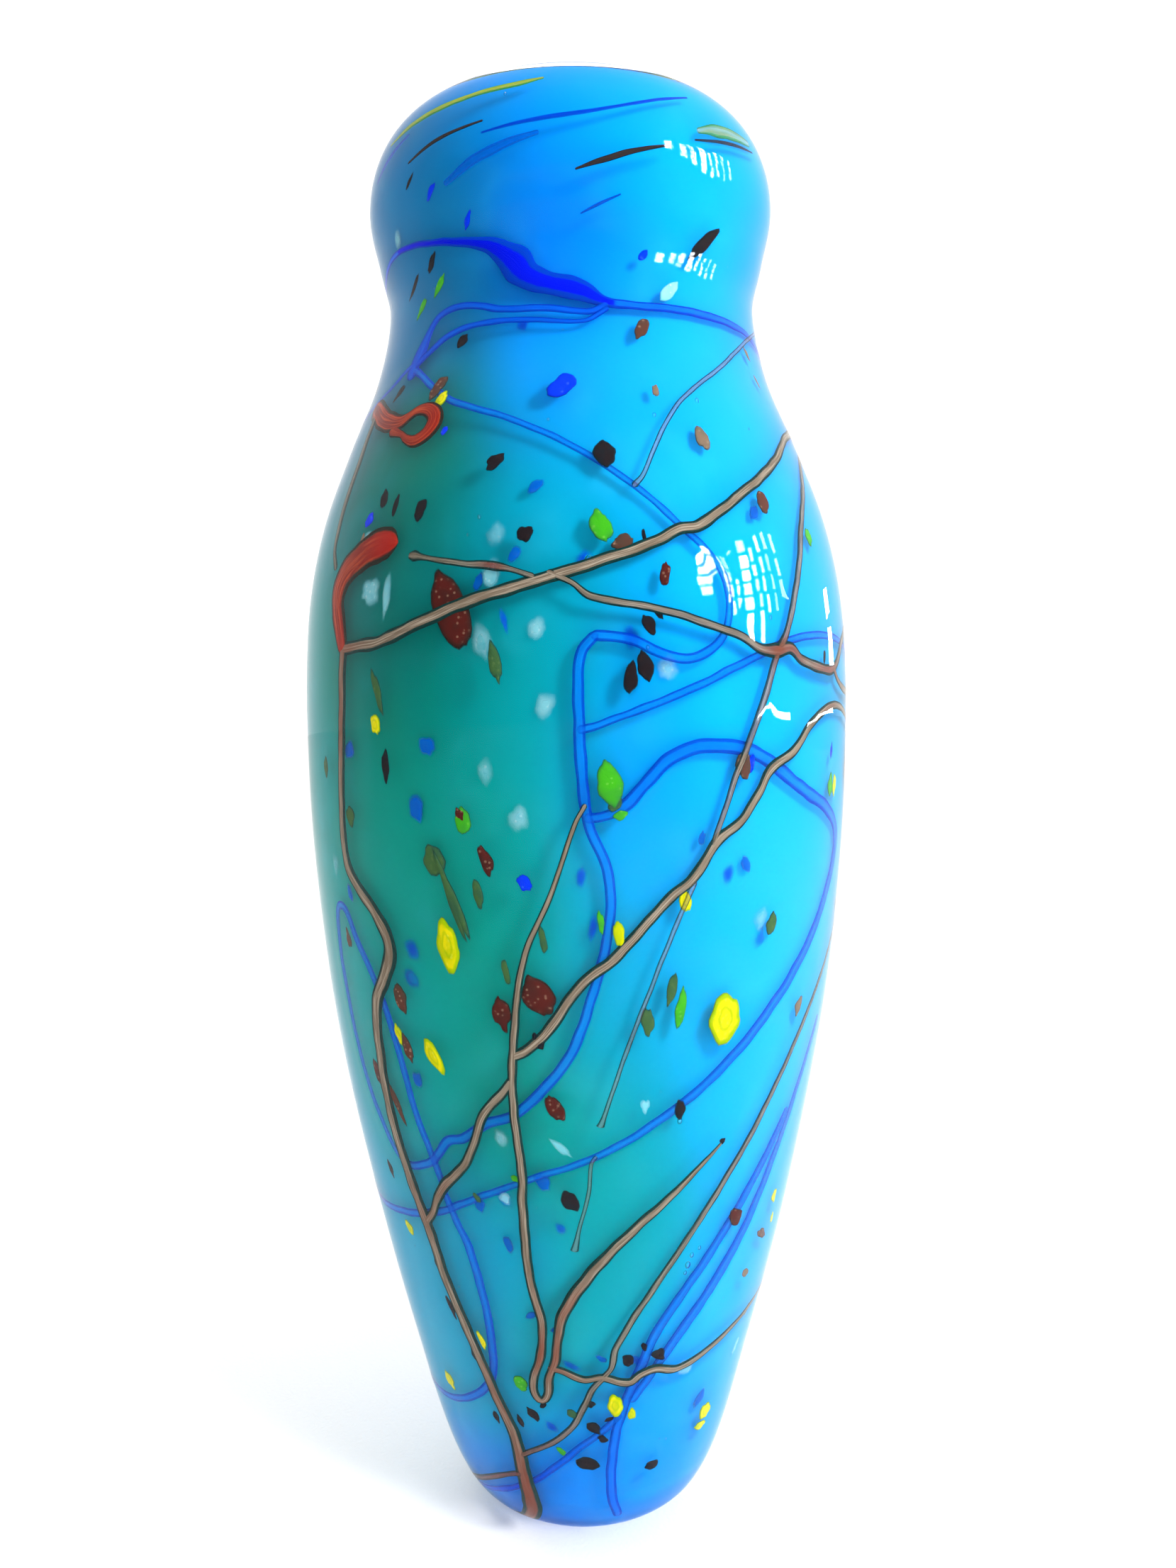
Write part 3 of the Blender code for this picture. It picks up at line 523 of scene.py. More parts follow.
def clear_glass():
    """Fire-polished clear glass that lets the lamps reach what is inside it."""
    n = Nodes("clear_glass")
    place = n.place()
    cloud = n.noise(place, 22.0, 3.0, 0.6)
    tint = n.mix(cloud, (0.965, 0.99, 1.0), (1.0, 1.0, 1.0))
    fine = n.noise(place, 55.0, 2.0)
    roughness = n.spread(fine, 0.35, 0.75, 0.0, 0.012)
    bent = {"Color": tint, "Roughness": roughness, "IOR": BENDING_IOR}
    through = n.add("ShaderNodeBsdfRefraction", bent).outputs[0]
    mirror = n.add("ShaderNodeBsdfAnisotropic", {"Roughness": 0.01}).outputs[0]
    share = n.add("ShaderNodeFresnel", {"IOR": MIRROR_IOR}).outputs[0]
    front = n.add("ShaderNodeMixShader", {0: share, 1: through, 2: mirror}).outputs[0]
    behind = n.add("ShaderNodeBsdfGlass", bent).outputs[0]
    back = n.add("ShaderNodeNewGeometry").outputs["Backfacing"]
    glass = n.add("ShaderNodeMixShader", {0: back, 1: front, 2: behind}).outputs[0]
    rays = n.add("ShaderNodeLightPath").outputs
    from_lamps = n.math("MAXIMUM", rays["Is Shadow Ray"], rays["Is Diffuse Ray"])
    clear = n.add("ShaderNodeBsdfTransparent").outputs[0]
    return n.finish(n.add("ShaderNodeMixShader", {0: from_lamps, 1: glass, 2: clear}).outputs[0])


def bubble_glass():
    """Dense blue glass with drifts of teal, as the painted colours say, and fine swirls; the painted colours
    also hold painted light on the right and painted shade on the left.
    """
    n = Nodes("bubble_glass")
    place = n.place()
    painted = n.add("ShaderNodeAttribute", attribute_name="tint").outputs["Color"]
    stretched = n.add("ShaderNodeMapping", {"Vector": place, "Scale": (1.0, 1.0, 0.45)}).outputs[0]
    drift = n.noise(stretched, 16.0, 4.0, 0.9)
    deep = n.mix(0.45, painted, (0.0, 0.16, 0.34))
    swirled = n.mix(n.spread(drift, 0.38, 0.72, 0.0, 0.42), painted, deep)
    cloud = n.noise(place, 60.0, 3.0, 0.4)
    pale = n.mix(0.3, painted, (0.05, 0.62, 0.85))
    colour = n.mix(n.spread(cloud, 0.5, 0.85, 0.0, 0.3), swirled, pale)
    inside = n.attribute("inside")
    shader = n.surface(colour, 0.25, n.bump(cloud, 0.0004), 0.0)
    wet = n.surface(colour, 0.08, None, 0.5)
    return n.finish(n.add("ShaderNodeMixShader", {0: inside, 1: shader, 2: wet}).outputs[0])


def thread_glass(name, core, pale, warm, edge, edge_start, density):
    """A drawn thread: a pale core streaked along its length, with a dark outline at both sides."""
    n = Nodes(name)
    across = n.attribute("across")
    along = n.attribute("along")
    place = n.place()
    ragged = n.math("MULTIPLY_ADD", n.noise(place, 420.0, 2.0), 0.16)
    ragged.node.inputs[2].default_value = -0.08
    side = n.math("ADD", n.math("ABSOLUTE", across), ragged)
    streak_place = n.combine(n.math("MULTIPLY", across, 2.3), n.math("MULTIPLY", along, 0.035), 0.0)
    streak = n.noise(streak_place, 2.6, 3.0, 0.5)
    body = n.mix(n.spread(streak, 0.42, 0.66), core, pale)
    fine = n.noise(n.combine(n.math("MULTIPLY", across, 6.0), n.math("MULTIPLY", along, 0.06), 3.0), 3.0, 2.0)
    body = n.mix(n.spread(fine, 0.5, 0.75, 0.0, 0.4), body, core)
    body = n.mix(n.attribute("warm"), body, warm)
    outline = n.spread(side, edge_start, edge_start + 0.2)
    colour = n.mix(outline, body, edge)
    shader = n.surface(colour, 0.45, n.bump(streak, 0.0002), 0.0)
    clear = n.attribute("clear")
    opacity = n.math("SUBTRACT", 1.0, n.math("MULTIPLY", clear, n.spread(outline, 0.0, 1.0, 1.0, 0.45)))
    opacity = n.math("MULTIPLY", opacity, density)
    return n.finish(n.fade(shader, opacity))


def chip_glass(name, core, rim, speck, speck_amount, ring=0.0):
    """A melted chip: mottled glass, a rim of another tone, and specks where it holds some."""
    n = Nodes(name)
    place = n.place()
    edge = n.attribute("edge")
    mottle = n.noise(place, 260.0, 3.0, 0.5)
    body = n.mix(n.spread(mottle, 0.4, 0.7, 0.0, 0.5), core, rim)
    cells = n.add("ShaderNodeTexVoronoi", {"Vector": place, "Scale": 780.0}).outputs["Distance"]
    dots = n.math("MULTIPLY", n.spread(cells, 0.18, 0.3, 1.0, 0.0), speck_amount)
    body = n.mix(dots, body, speck)
    if ring:
        wave = n.math("SINE", n.math("MULTIPLY", n.math("ADD", edge, n.math("MULTIPLY", mottle, 0.25)), 15.0))
        body = n.mix(n.spread(wave, 0.2, 0.9, 0.0, ring), body, rim)
    colour = n.mix(n.spread(edge, 0.72, 0.98), body, rim)
    shader = n.surface(colour, 0.4, n.bump(mottle, 0.0003), 0.0)
    soft = n.attribute("soft")
    start = n.math("SUBTRACT", 0.96, soft)
    falloff = n.add("ShaderNodeMapRange", {"Value": edge, 1: start, 2: 1.0, 3: 1.0, 4: 0.0},
                    interpolation_type="SMOOTHSTEP").outputs[0]
    opacity = n.math("MULTIPLY", falloff, n.attribute("dense"))
    return n.finish(n.fade(shader, opacity))


def seed_glass():
    """Air in the glass."""
    n = Nodes("seed_air")
    roughness = n.spread(n.noise(n.place(), 300.0), 0.3, 0.8, 0.0, 0.05)
    air = n.surface((1.0, 1.0, 1.0), roughness, None, 0.5, **{"Transmission Weight": 1.0, "IOR": 0.68})
    rays = n.add("ShaderNodeLightPath").outputs
    clear = n.add("ShaderNodeBsdfTransparent").outputs[0]
    from_lamps = n.math("MAXIMUM", rays["Is Shadow Ray"], rays["Is Diffuse Ray"])
    return n.finish(n.add("ShaderNodeMixShader", {0: from_lamps, 1: air, 2: clear}).outputs[0])


BROWN = thread_glass(
    "brown_glass", (0.15, 0.11, 0.075), (0.36, 0.30, 0.23), (0.20, 0.04, 0.02), (0.004, 0.03, 0.028),
    0.45, 0.96)
RED = thread_glass(
    "red_glass", (0.18, 0.012, 0.005), (0.44, 0.06, 0.015), (0.30, 0.01, 0.006), (0.012, 0.012, 0.008),
    0.60, 1.0)
BLUE = thread_glass(
    "blue_glass", (0.0, 0.14, 0.80), (0.0, 0.24, 0.95), (0.0, 0.005, 0.72), (0.0, 0.04, 0.48),
    0.42, 0.84)
YELLOW_STREAK = thread_glass(
    "yellow_streak_glass", (0.28, 0.40, 0.01), (0.50, 0.50, 0.01), (0.1, 0.3, 0.02), (0.03, 0.25, 0.03),
    0.5, 0.95)
BLACK_STREAK = thread_glass(
    "black_streak_glass", (0.02, 0.018, 0.02), (0.05, 0.03, 0.03), (0.1, 0.02, 0.01), (0.004, 0.01, 0.015),
    0.7, 1.0)
NAVY_STREAK = thread_glass(
    "navy_streak_glass", (0.0, 0.04, 0.55), (0.0, 0.07, 0.7), (0.0, 0.03, 0.3), (0.0, 0.09, 0.6),
    0.5, 0.85)

CHIP_GLASSES = {
    "black": chip_glass("black_glass", (0.012, 0.008, 0.01), (0.004, 0.014, 0.02), (0.10, 0.05, 0.04), 0.10),
    "maroon": chip_glass("maroon_glass", (0.07, 0.010, 0.008), (0.02, 0.012, 0.01), (0.35, 0.20, 0.13), 0.35),
    "brown": chip_glass("brown_chip_glass", (0.09, 0.03, 0.02), (0.03, 0.04, 0.03), (0.5, 0.3, 0.2), 0.35),
    "tan": chip_glass("tan_chip_glass", (0.18, 0.12, 0.08), (0.08, 0.09, 0.07), (0.5, 0.4, 0.3), 0.2),
    "yellow": chip_glass(
        "yellow_glass", (0.66, 0.58, 0.0), (0.16, 0.34, 0.0), (0.9, 0.85, 0.2), 0.15, 0.45),
    "green": chip_glass("green_glass", (0.04, 0.34, 0.01), (0.02, 0.17, 0.03), (0.5, 0.8, 0.2), 0.12),
    "olive": chip_glass("olive_chip_glass", (0.04, 0.10, 0.03), (0.01, 0.06, 0.045), (0.2, 0.3, 0.1), 0.15),
    "cobalt": chip_glass("cobalt_glass", (0.0, 0.03, 0.72), (0.0, 0.02, 0.50), (0.1, 0.3, 0.9), 0.2),
    "blue": chip_glass("blue_chip_glass", (0.0, 0.08, 0.48), (0.0, 0.12, 0.48), (0.1, 0.3, 0.7), 0.1),
    "white": chip_glass("white_glass", (0.26, 0.62, 0.70), (0.08, 0.42, 0.58), (0.9, 0.95, 0.95), 0.3),
}
CHIP_SLOTS = {
    "black": "black_glass", "maroon": "maroon_glass", "brown": "maroon_glass", "tan": "brown_glass",
    "yellow": "yellow_glass", "green": "green_glass", "olive": "green_glass", "cobalt": "cobalt_glass",
    "blue": "cobalt_glass", "white": "white_glass",
}


# ---------------------------------------------------------------- the body


def layer_outline(depth):
    """The wall at a depth from the crest of the lip down, as evenly spaced points."""
    points = []
    for i, point in enumerate(WALL):
        normal = wall_normal(i)
        points.append(Vector((point.x - normal.x * depth, point.y - normal.y * depth)))
    even = [points[-1]]
    for point in reversed(points):
        if (point - even[-1]).length >= RING_SPACING:
            even.append(point)
    return even


def cut_lip(outline, length):
    """The outline without its first stretch of the given length, which is at the lip."""
    for i in range(1, len(outline)):
        step = outline[i] - outline[i - 1]
        if step.length > length:
            return [outline[i - 1] + step.normalized() * length] + outline[i:]
        length -= step.length
    return []


def rounded_base(outline, floor):
    """The outline down to the shoulder of the base, then a rounded floor to the axis."""
    wall = [point for point in outline if point.y > SHOULDER_OF_BASE]
    edge = wall[-1].x
    drop = wall[-1].y - floor
    for i in range(1, BASE_STEPS):
        angle = math.pi / 2 * i / BASE_STEPS
        wall.append(Vector((edge * math.cos(angle), floor + drop * (1 - math.sin(angle)))))
    wall.append(Vector((0, floor)))
    return wall


def arc(middle, radius, first, last, steps):
    """Points round an arc, with angles in degrees from the level direction away from the axis."""
    points = []
    for i in range(steps + 1):
        angle = math.radians(first + (last - first) * i / steps)
        points.append(middle + Vector((math.cos(angle), math.sin(angle))) * radius)
    return points


def turned_mesh(profile, turn_steps, move):
    """Points and faces of a profile turned about the axis, with one point where it meets it."""
    verts, faces, rings = [], [], []
    for radius, height in profile:
        if radius < 0.01:
            rings.append([len(verts)] * turn_steps)
            verts.append(Vector((0, 0, height)))
            continue
        rings.append(list(range(len(verts), len(verts) + turn_steps)))
        for k in range(turn_steps):
            angle = math.tau * k / turn_steps
            verts.append(move(Vector((radius * math.sin(angle), -radius * math.cos(angle), height))))
    for upper, lower in zip(rings, rings[1:]):
        for k in range(turn_steps):
            following = (k + 1) % turn_steps
            corners = [upper[k], lower[k], lower[following], upper[following]]
            faces.append([v for j, v in enumerate(corners) if v not in corners[:j]])
    return verts, faces


def all_threads():
    return {**BROWN_THREADS, **RED_THREADS, **BLUE_THREADS, **STREAKS}


def thread_tree():
    """Where the threads run, for the clear glass to swell over them."""
    places = []
    for name, path in all_threads().items():
        for azimuth, height, width in smooth_curve(joined(name, path), 12):
            places.append((surface_point(azimuth, height, 0), width))
    tree = kdtree.KDTree(len(places))
    for i, (place, width) in enumerate(places):
        tree.insert(place, i)
    tree.balance()
    return tree, [width for place, width in places]


def hand_wobble(point):
    """The slight unevenness of hand work, in millimetres."""
    broad = noise.noise(point * 0.018) * 0.5
    fine = noise.noise(point * 0.06 + Vector((7, 3, 1))) * 0.09
    return broad + fine


def make_casing():
    """The clear gather out to the finished surface, over the rim of the bubble at the lip."""
    tree, widths = thread_tree()

    def move(point):
        outward = Vector((point.x, point.y, 0)).normalized()
        if point.z < 1 or outward.length == 0:
            return point
        place, i, distance = tree.find(point)
        swell = 0.0
        if distance < HIDDEN_DEPTH / 2:
            swell = THREAD_RISE * math.exp(-(distance / (widths[i] * 0.55 + 0.5)) ** 2)
        return point + outward * (hand_wobble(point) * min(point.z / 30, 1) * 0.45 + swell)

    outside = layer_outline(0)
    crest = outside[0]
    lip_radius = BUBBLE_INNER / 2
    lip = arc(crest - Vector((0, lip_radius)), lip_radius, 270, 90, LIP_STEPS)
    clear_inside = [p for p in layer_outline(BUBBLE_INNER) if p.y > crest.y - BUBBLE_INNER - CLEAR_LIP]
    hidden = rounded_base(cut_lip(layer_outline(HIDDEN_DEPTH), CLEAR_LIP + 0.6), BUBBLE_FLOOR - 1)
    inside = cut_lip(layer_outline(BUBBLE_INNER), 0.3)
    step = cut_lip(layer_outline(BUBBLE_INNER), CLEAR_LIP + 0.6)[0]
    near_lip = [p for p in inside if p.y > step.y + 0.4]
    foot = arc(Vector((outside[-1].x - FOOT_EDGE, FOOT_EDGE)), FOOT_EDGE, -20, -90, 4)
    outside = [p for p in outside if p.y > FOOT_EDGE]
    under = [Vector((foot[-1].x * part, 0)) for part in (0.75, 0.5, 0.25, 0)]
    profile = hidden[::-1] + [step] + near_lip[::-1] + lip + outside[1:] + foot + under
    verts, faces = turned_mesh(profile, CASING_TURN, move)
    return new_piece("clear_gather", verts, faces, clear_glass(), "clear_casing", "clear_glass")


# Tones of the bubble's glass; the brightest azure also holds painted light, and the shaded blue painted
# shade.
AZURE = (0.0, 0.25, 0.80)
PAINTED_LIGHT_AZURE = (0.0, 0.35, 0.95)
DEEP_BLUE = (0.0, 0.15, 0.70)
PAINTED_SHADE_BLUE = (0.0, 0.15, 0.35)
SEA = (0.0, 0.30, 0.50)
TEAL = (0.0, 0.30, 0.30)
GREEN = (0.0, 0.25, 0.20)
DARK_GREEN = (0.0, 0.15, 0.10)

# Where each tone lies: azimuth, height, reach round and up, and the tone. The brightest azure sits on the
# right, where the lamps fall, as painted light, and the shaded blue sits on the left as painted shade.
BUBBLE_PATCHES = [
    (0, 370, 40, 12, AZURE), (-50, 365, 30, 16, PAINTED_SHADE_BLUE), (35, 360, 30, 18, PAINTED_LIGHT_AZURE),
    (0, 340, 22, 20, DEEP_BLUE), (-45, 330, 24, 20, PAINTED_SHADE_BLUE), (35, 310, 26, 30, PAINTED_LIGHT_AZURE),
    (-5, 305, 14, 20, AZURE), (-35, 285, 24, 22, DARK_GREEN), (0, 270, 16, 22, SEA),
    (35, 250, 24, 40, PAINTED_LIGHT_AZURE), (-35, 240, 24, 24, DARK_GREEN), (-5, 230, 14, 30, TEAL),
    (12, 215, 12, 26, AZURE), (-35, 200, 26, 26, GREEN), (40, 185, 24, 34, PAINTED_LIGHT_AZURE),
    (-15, 170, 16, 26, GREEN), (10, 165, 14, 26, SEA), (-45, 145, 20, 30, TEAL),
    (-15, 130, 18, 22, GREEN), (10, 118, 16, 26, TEAL), (45, 130, 20, 34, PAINTED_LIGHT_AZURE),
    (20, 92, 14, 22, TEAL), (-30, 90, 22, 26, SEA), (45, 75, 22, 26, PAINTED_LIGHT_AZURE),
    (-5, 68, 16, 16, TEAL), (-35, 50, 26, 20, SEA), (20, 42, 26, 20, AZURE),
    (-20, 25, 30, 12, DEEP_BLUE), (25, 20, 30, 12, AZURE),
    (80, 330, 26, 60, AZURE), (85, 220, 24, 60, SEA), (85, 90, 24, 60, SEA),
    (130, 300, 30, 50, AZURE), (130, 180, 24, 40, TEAL), (130, 60, 30, 50, AZURE),
    (180, 340, 30, 50, AZURE), (180, 230, 24, 40, GREEN), (180, 110, 30, 50, SEA),
    (180, 30, 30, 40, DEEP_BLUE), (230, 300, 30, 50, SEA), (230, 180, 24, 40, AZURE),
    (230, 70, 30, 50, SEA), (275, 330, 24, 50, PAINTED_SHADE_BLUE), (275, 220, 24, 50, TEAL),
    (275, 90, 24, 50, SEA),
]


def bubble_colour_and_painted_light(azimuth, height):
    """The nearby colours of the list, each weighted by how near it is; they include painted light on the
    right and painted shade on the left.
    """
    total, colour = 1e-9, Vector((0, 0, 0))
    for middle, level, reach_round, reach_up, patch in BUBBLE_PATCHES:
        off = (azimuth - middle + 180) % 360 - 180
        weight = math.exp(-((off / reach_round) ** 2 + ((height - level) / reach_up) ** 2))
        total += weight
        colour += Vector(patch) * weight
    return colour / total


def make_bubble():
    """The blue bubble, whose rim stops short of the clear lip."""
    outside = rounded_base(cut_lip(layer_outline(BUBBLE_OUTER), CLEAR_LIP), BUBBLE_FLOOR - FLOOR_THICKNESS)
    inside = rounded_base(cut_lip(layer_outline(BUBBLE_INNER), CLEAR_LIP), BUBBLE_FLOOR)
    profile = inside[::-1] + outside

    def move(point):
        outward = Vector((point.x, point.y, 0)).normalized()
        return point + outward * noise.noise(point * 0.045 + Vector((3, 9, 4))) * 0.25

    verts, faces = turned_mesh(profile, BUBBLE_TURN, move)
    piece = new_piece("colour_bubble", verts, faces, bubble_glass(), "blue_bubble", "bubble_glass")
    # The tint is the glass's tones, with painted light on the lit right side and painted shade on the left.
    tint = piece.data.attributes.new("tint", "FLOAT_COLOR", "POINT")
    colours = []
    for vert in verts:
        azimuth = math.degrees(math.atan2(vert.x, -vert.y))
        colours.extend((*bubble_colour_and_painted_light(azimuth, vert.z), 1.0))
    tint.data.foreach_set("color", colours)
    inner_count = 1 + (len(inside) - 1) * BUBBLE_TURN
    paint(piece, "inside", [1.0 if i < inner_count else 0.0 for i in range(len(verts))])
    return piece


# ---------------------------------------------------------------- threads

THREAD_SIDES = 14
THREAD_SPACING = 0.9
END_REACH = 0.6
CAP_STATIONS = (0.02, 0.12, 0.3, 0.6, 1.0)

# Redder stretches of the threads: azimuth, height, reach and strength.
WARM_SPOTS = [
    (-23, 18, 22, 0.9), (-27, 48, 14, 0.45), (-10, 66, 9, 0.75), (-4, 80, 8, 0.5), (40, 240.4, 5, 0.8),
    (44, 240, 6, 0.7), (58, 236, 9, 0.8), (-14.6, 259.3, 3.2, 1.0), (-38, 266, 6, 1.0), (-33, 295, 5, 0.5),
    (-49, 243, 7, 0.5), (-50, 226, 14, 0.55), (-33, 110, 6, 0.3), (151, 20, 22, 0.8), (157, 240, 10, 0.5),
    (-43, 100, 9, 0.3),
]


def warmth(place):
    """How red the thread is at a place on the surface."""
    total = 0.0
    for azimuth, height, reach, strength in WARM_SPOTS:
        distance = (surface_point(azimuth, height, 0) - place).length
        total = max(total, strength * math.exp(-(distance / reach) ** 2))
    return total


def stations(path):
    """Azimuth, height, width, distance along and cap size, at even steps along a thread."""
    dense = smooth_curve(path, 40)
    reach_in = surface_point(dense[0].x, dense[0].y, 0) - surface_point(dense[1].x, dense[1].y, 0)
    reach_out = surface_point(dense[-1].x, dense[-1].y, 0) - surface_point(dense[-2].x, dense[-2].y, 0)
    first = dense[0] + (dense[0] - dense[1]) * (END_REACH / max(reach_in.length, 0.01))
    last = dense[-1] + (dense[-1] - dense[-2]) * (END_REACH / max(reach_out.length, 0.01))
    first.z = dense[0].z
    last.z = dense[-1].z
    dense = [first] + dense + [last]
    places = [surface_point(azimuth, height, 0) for azimuth, height, width in dense]
    run = [0.0]
    for before, after in zip(places, places[1:]):
        run.append(run[-1] + (after - before).length)
    length = run[-1]
    start_cap = dense[0].z / 2
    end_cap = dense[-1].z / 2
    marks = [start_cap * part for part in CAP_STATIONS]
    count = max(2, round((length - start_cap - end_cap) / THREAD_SPACING))
    marks += [start_cap + (length - start_cap - end_cap) * k / count for k in range(1, count)]
    marks += [length - end_cap * part for part in reversed(CAP_STATIONS)]
    found = []
    for mark in marks:
        i = min(max(bisect_left(run, mark), 1), len(run) - 1)
        part = (mark - run[i - 1]) / max(run[i] - run[i - 1], 1e-6)
        sample = dense[i - 1].lerp(dense[i], part)
        near_end = min(mark / start_cap, (length - mark) / end_cap, 1.0)
        found.append((sample.x, sample.y, sample.z, mark, math.sqrt(1 - (1 - near_end) ** 2)))
    return found


def thread_mesh(path, top, seed):
    """Points, faces, and the across and along values of one flattened round thread."""
    found = stations(path)
    places = [surface_point(azimuth, height, 0) for azimuth, height, *rest in found]
    verts, across_values, along_values = [], [], []
    for i, (azimuth, height, width, mark, cap) in enumerate(found):
        ahead = places[min(i + 1, len(places) - 1)] - places[max(i - 1, 0)]
        angle = math.radians(azimuth)
        level = ahead.dot(Vector((math.cos(angle), math.sin(angle), 0)))
        rise = math.copysign(math.sqrt(max(ahead.length_squared - level ** 2, 0)), ahead.z)
        turn = math.atan2(rise, level)
        sway = noise.noise(Vector((mark / 6, seed, 0))) * min(width, 3) * 0.09
        swollen = width * (1 + 0.14 * noise.noise(Vector((mark / 4.5, seed, 5)))) * cap
        thick = min(max(width * 0.5, 0.5), 1.7) * max(cap, 0.1)
        middle = top + min(max(width * 0.5, 0.5), 1.7) / 2
        for k in range(THREAD_SIDES):
            round_angle = math.tau * k / THREAD_SIDES
            out = swollen / 2 * math.cos(round_angle) + sway
            moved = surface_offset(azimuth, height, -math.sin(turn) * out, math.cos(turn) * out)
            verts.append(surface_point(*moved, middle - math.sin(round_angle) * thick / 2))
            across_values.append(math.cos(round_angle))
            along_values.append(mark + seed * 37)
    faces = []
    for i in range(len(found) - 1):
        for k in range(THREAD_SIDES):
            following = (k + 1) % THREAD_SIDES
            a, b = i * THREAD_SIDES, (i + 1) * THREAD_SIDES
            faces.append((a + k, a + following, b + following, b + k))
    faces.append(tuple(range(THREAD_SIDES))[::-1])
    last = (len(found) - 1) * THREAD_SIDES
    faces.append(tuple(range(last, last + THREAD_SIDES)))
    return verts, faces, across_values, along_values


# The stretch of azimuth in which a solid blue thread is solid.
SOLID_SPAN = {"neck_blue_thread": (-60, 12)}
BEYOND_SPAN = 0.25


def solid_part(name, vert):
    """1 where the thread is as solid as it gets, and less beyond its solid stretch."""
    low, high = SOLID_SPAN.get(name, (-180, 180))
    azimuth = math.degrees(math.atan2(vert.x, -vert.y))
    return 1.0 if low <= azimuth <= high else BEYOND_SPAN


# Threads that end in a small bead: the end that has it, and its width.
BEADS = {"bulb_twig_thread": (0, 3.6), "thin_descending_thread": (-1, 3.0), "short_bulb_thread": (-1, 3.0)}
BEAD_SHARE = 0.1


def beaded(name, path):
    """The path, with the end that has a bead widened over its last short stretch."""
    if name not in BEADS:
        return path
    end, width = BEADS[name]
    points = path if end else path[::-1]
    tip, before = points[-1], points[-2]
    near = tuple(t + (b - t) * BEAD_SHARE for t, b in zip(tip, before))
    points = points[:-1] + [near, (tip[0], tip[1], width)]
    return points if end else points[::-1]


# How much wider than their paths some threads melted.
SWELL = {"red_lasso_thread": 1.5, "red_club_thread": 1.2, "neck_blue_thread": 1.25}


def make_thread(name, path, material, slot, top, seed, clearness, solid=0.0, node=True):
    """A thread of glass; clearness is how far its core lets the bubble show through."""
    swell = SWELL.get(name, 1.0)
    wider = [(azimuth, height, width * swell) for azimuth, height, width in beaded(name, joined(name, path))]
    verts, faces, across, along = thread_mesh(wider, top, seed)
    piece = new_piece(name + "_glass", verts, faces, material, name if node else None, slot)
    paint(piece, "across", across)
    paint(piece, "along", along)
    paint(piece, "warm", [max(warmth(vert), solid * solid_part(name, vert)) for vert in verts])
    paint(piece, "clear", [clearness] * len(verts))
    return piece


CLEARNESS = {
    "thin_descending_thread": 0.72, "short_bulb_thread": 0.75, "thin_arch_thread": 0.7,
    "right_descending_thread": 0.35, "foot_twig_thread": 0.25, "bulb_twig_thread": 0.3,
    "right_upper_thread": 0.3, "right_rising_thread": 0.25, "foot_left_thread": 0.25,
    "right_junction_thread": 0.15, "left_edge_thread": 0.3,
}
SOLID_BLUE = {
    "neck_blue_thread": 1.0, "neck_loop_thread": 0.45, "neck_twin_thread": 0.45, "neck_left_thread": 0.4,
    "back_blue_neck_thread": 0.8,
}


# How deep the tops of the threads lie, and how clear an ordinary blue one is.
BROWN_TOP = 0.35
RED_TOP = 0.2
BLUE_TOP = 1.5
STREAK_TOP = 0.6
BLUE_CLEARNESS = 0.55


def make_threads():
    for i, (name, path) in enumerate(BROWN_THREADS.items()):
        make_thread(name, path, BROWN, "brown_glass", BROWN_TOP, i + 1, CLEARNESS.get(name, 0.0))
    for i, (name, path) in enumerate(RED_THREADS.items()):
        make_thread(name, path, RED, "red_glass", RED_TOP, i + 41, 0.0)
    for i, (name, path) in enumerate(BLUE_THREADS.items()):
        solid = SOLID_BLUE.get(name, 0.0)
        make_thread(name, path, BLUE, "blue_glass", BLUE_TOP, i + 61, BLUE_CLEARNESS * (1 - solid), solid)
    streaks = [
        ("yellow_head_streak", YELLOW_STREAK, "yellow_glass", 90, 0.2),
        ("black_head_streak", BLACK_STREAK, "black_glass", 91, 0.0),
    ]
    for name, material, slot, seed, clearness in streaks:
        make_thread(name, STREAKS[name], material, slot, STREAK_TOP, seed, clearness)


# ---------------------------------------------------------------- chips

CHIP_RINGS = (0.3, 0.55, 0.76, 0.9, 1.0)
CHIP_SECTORS = 26


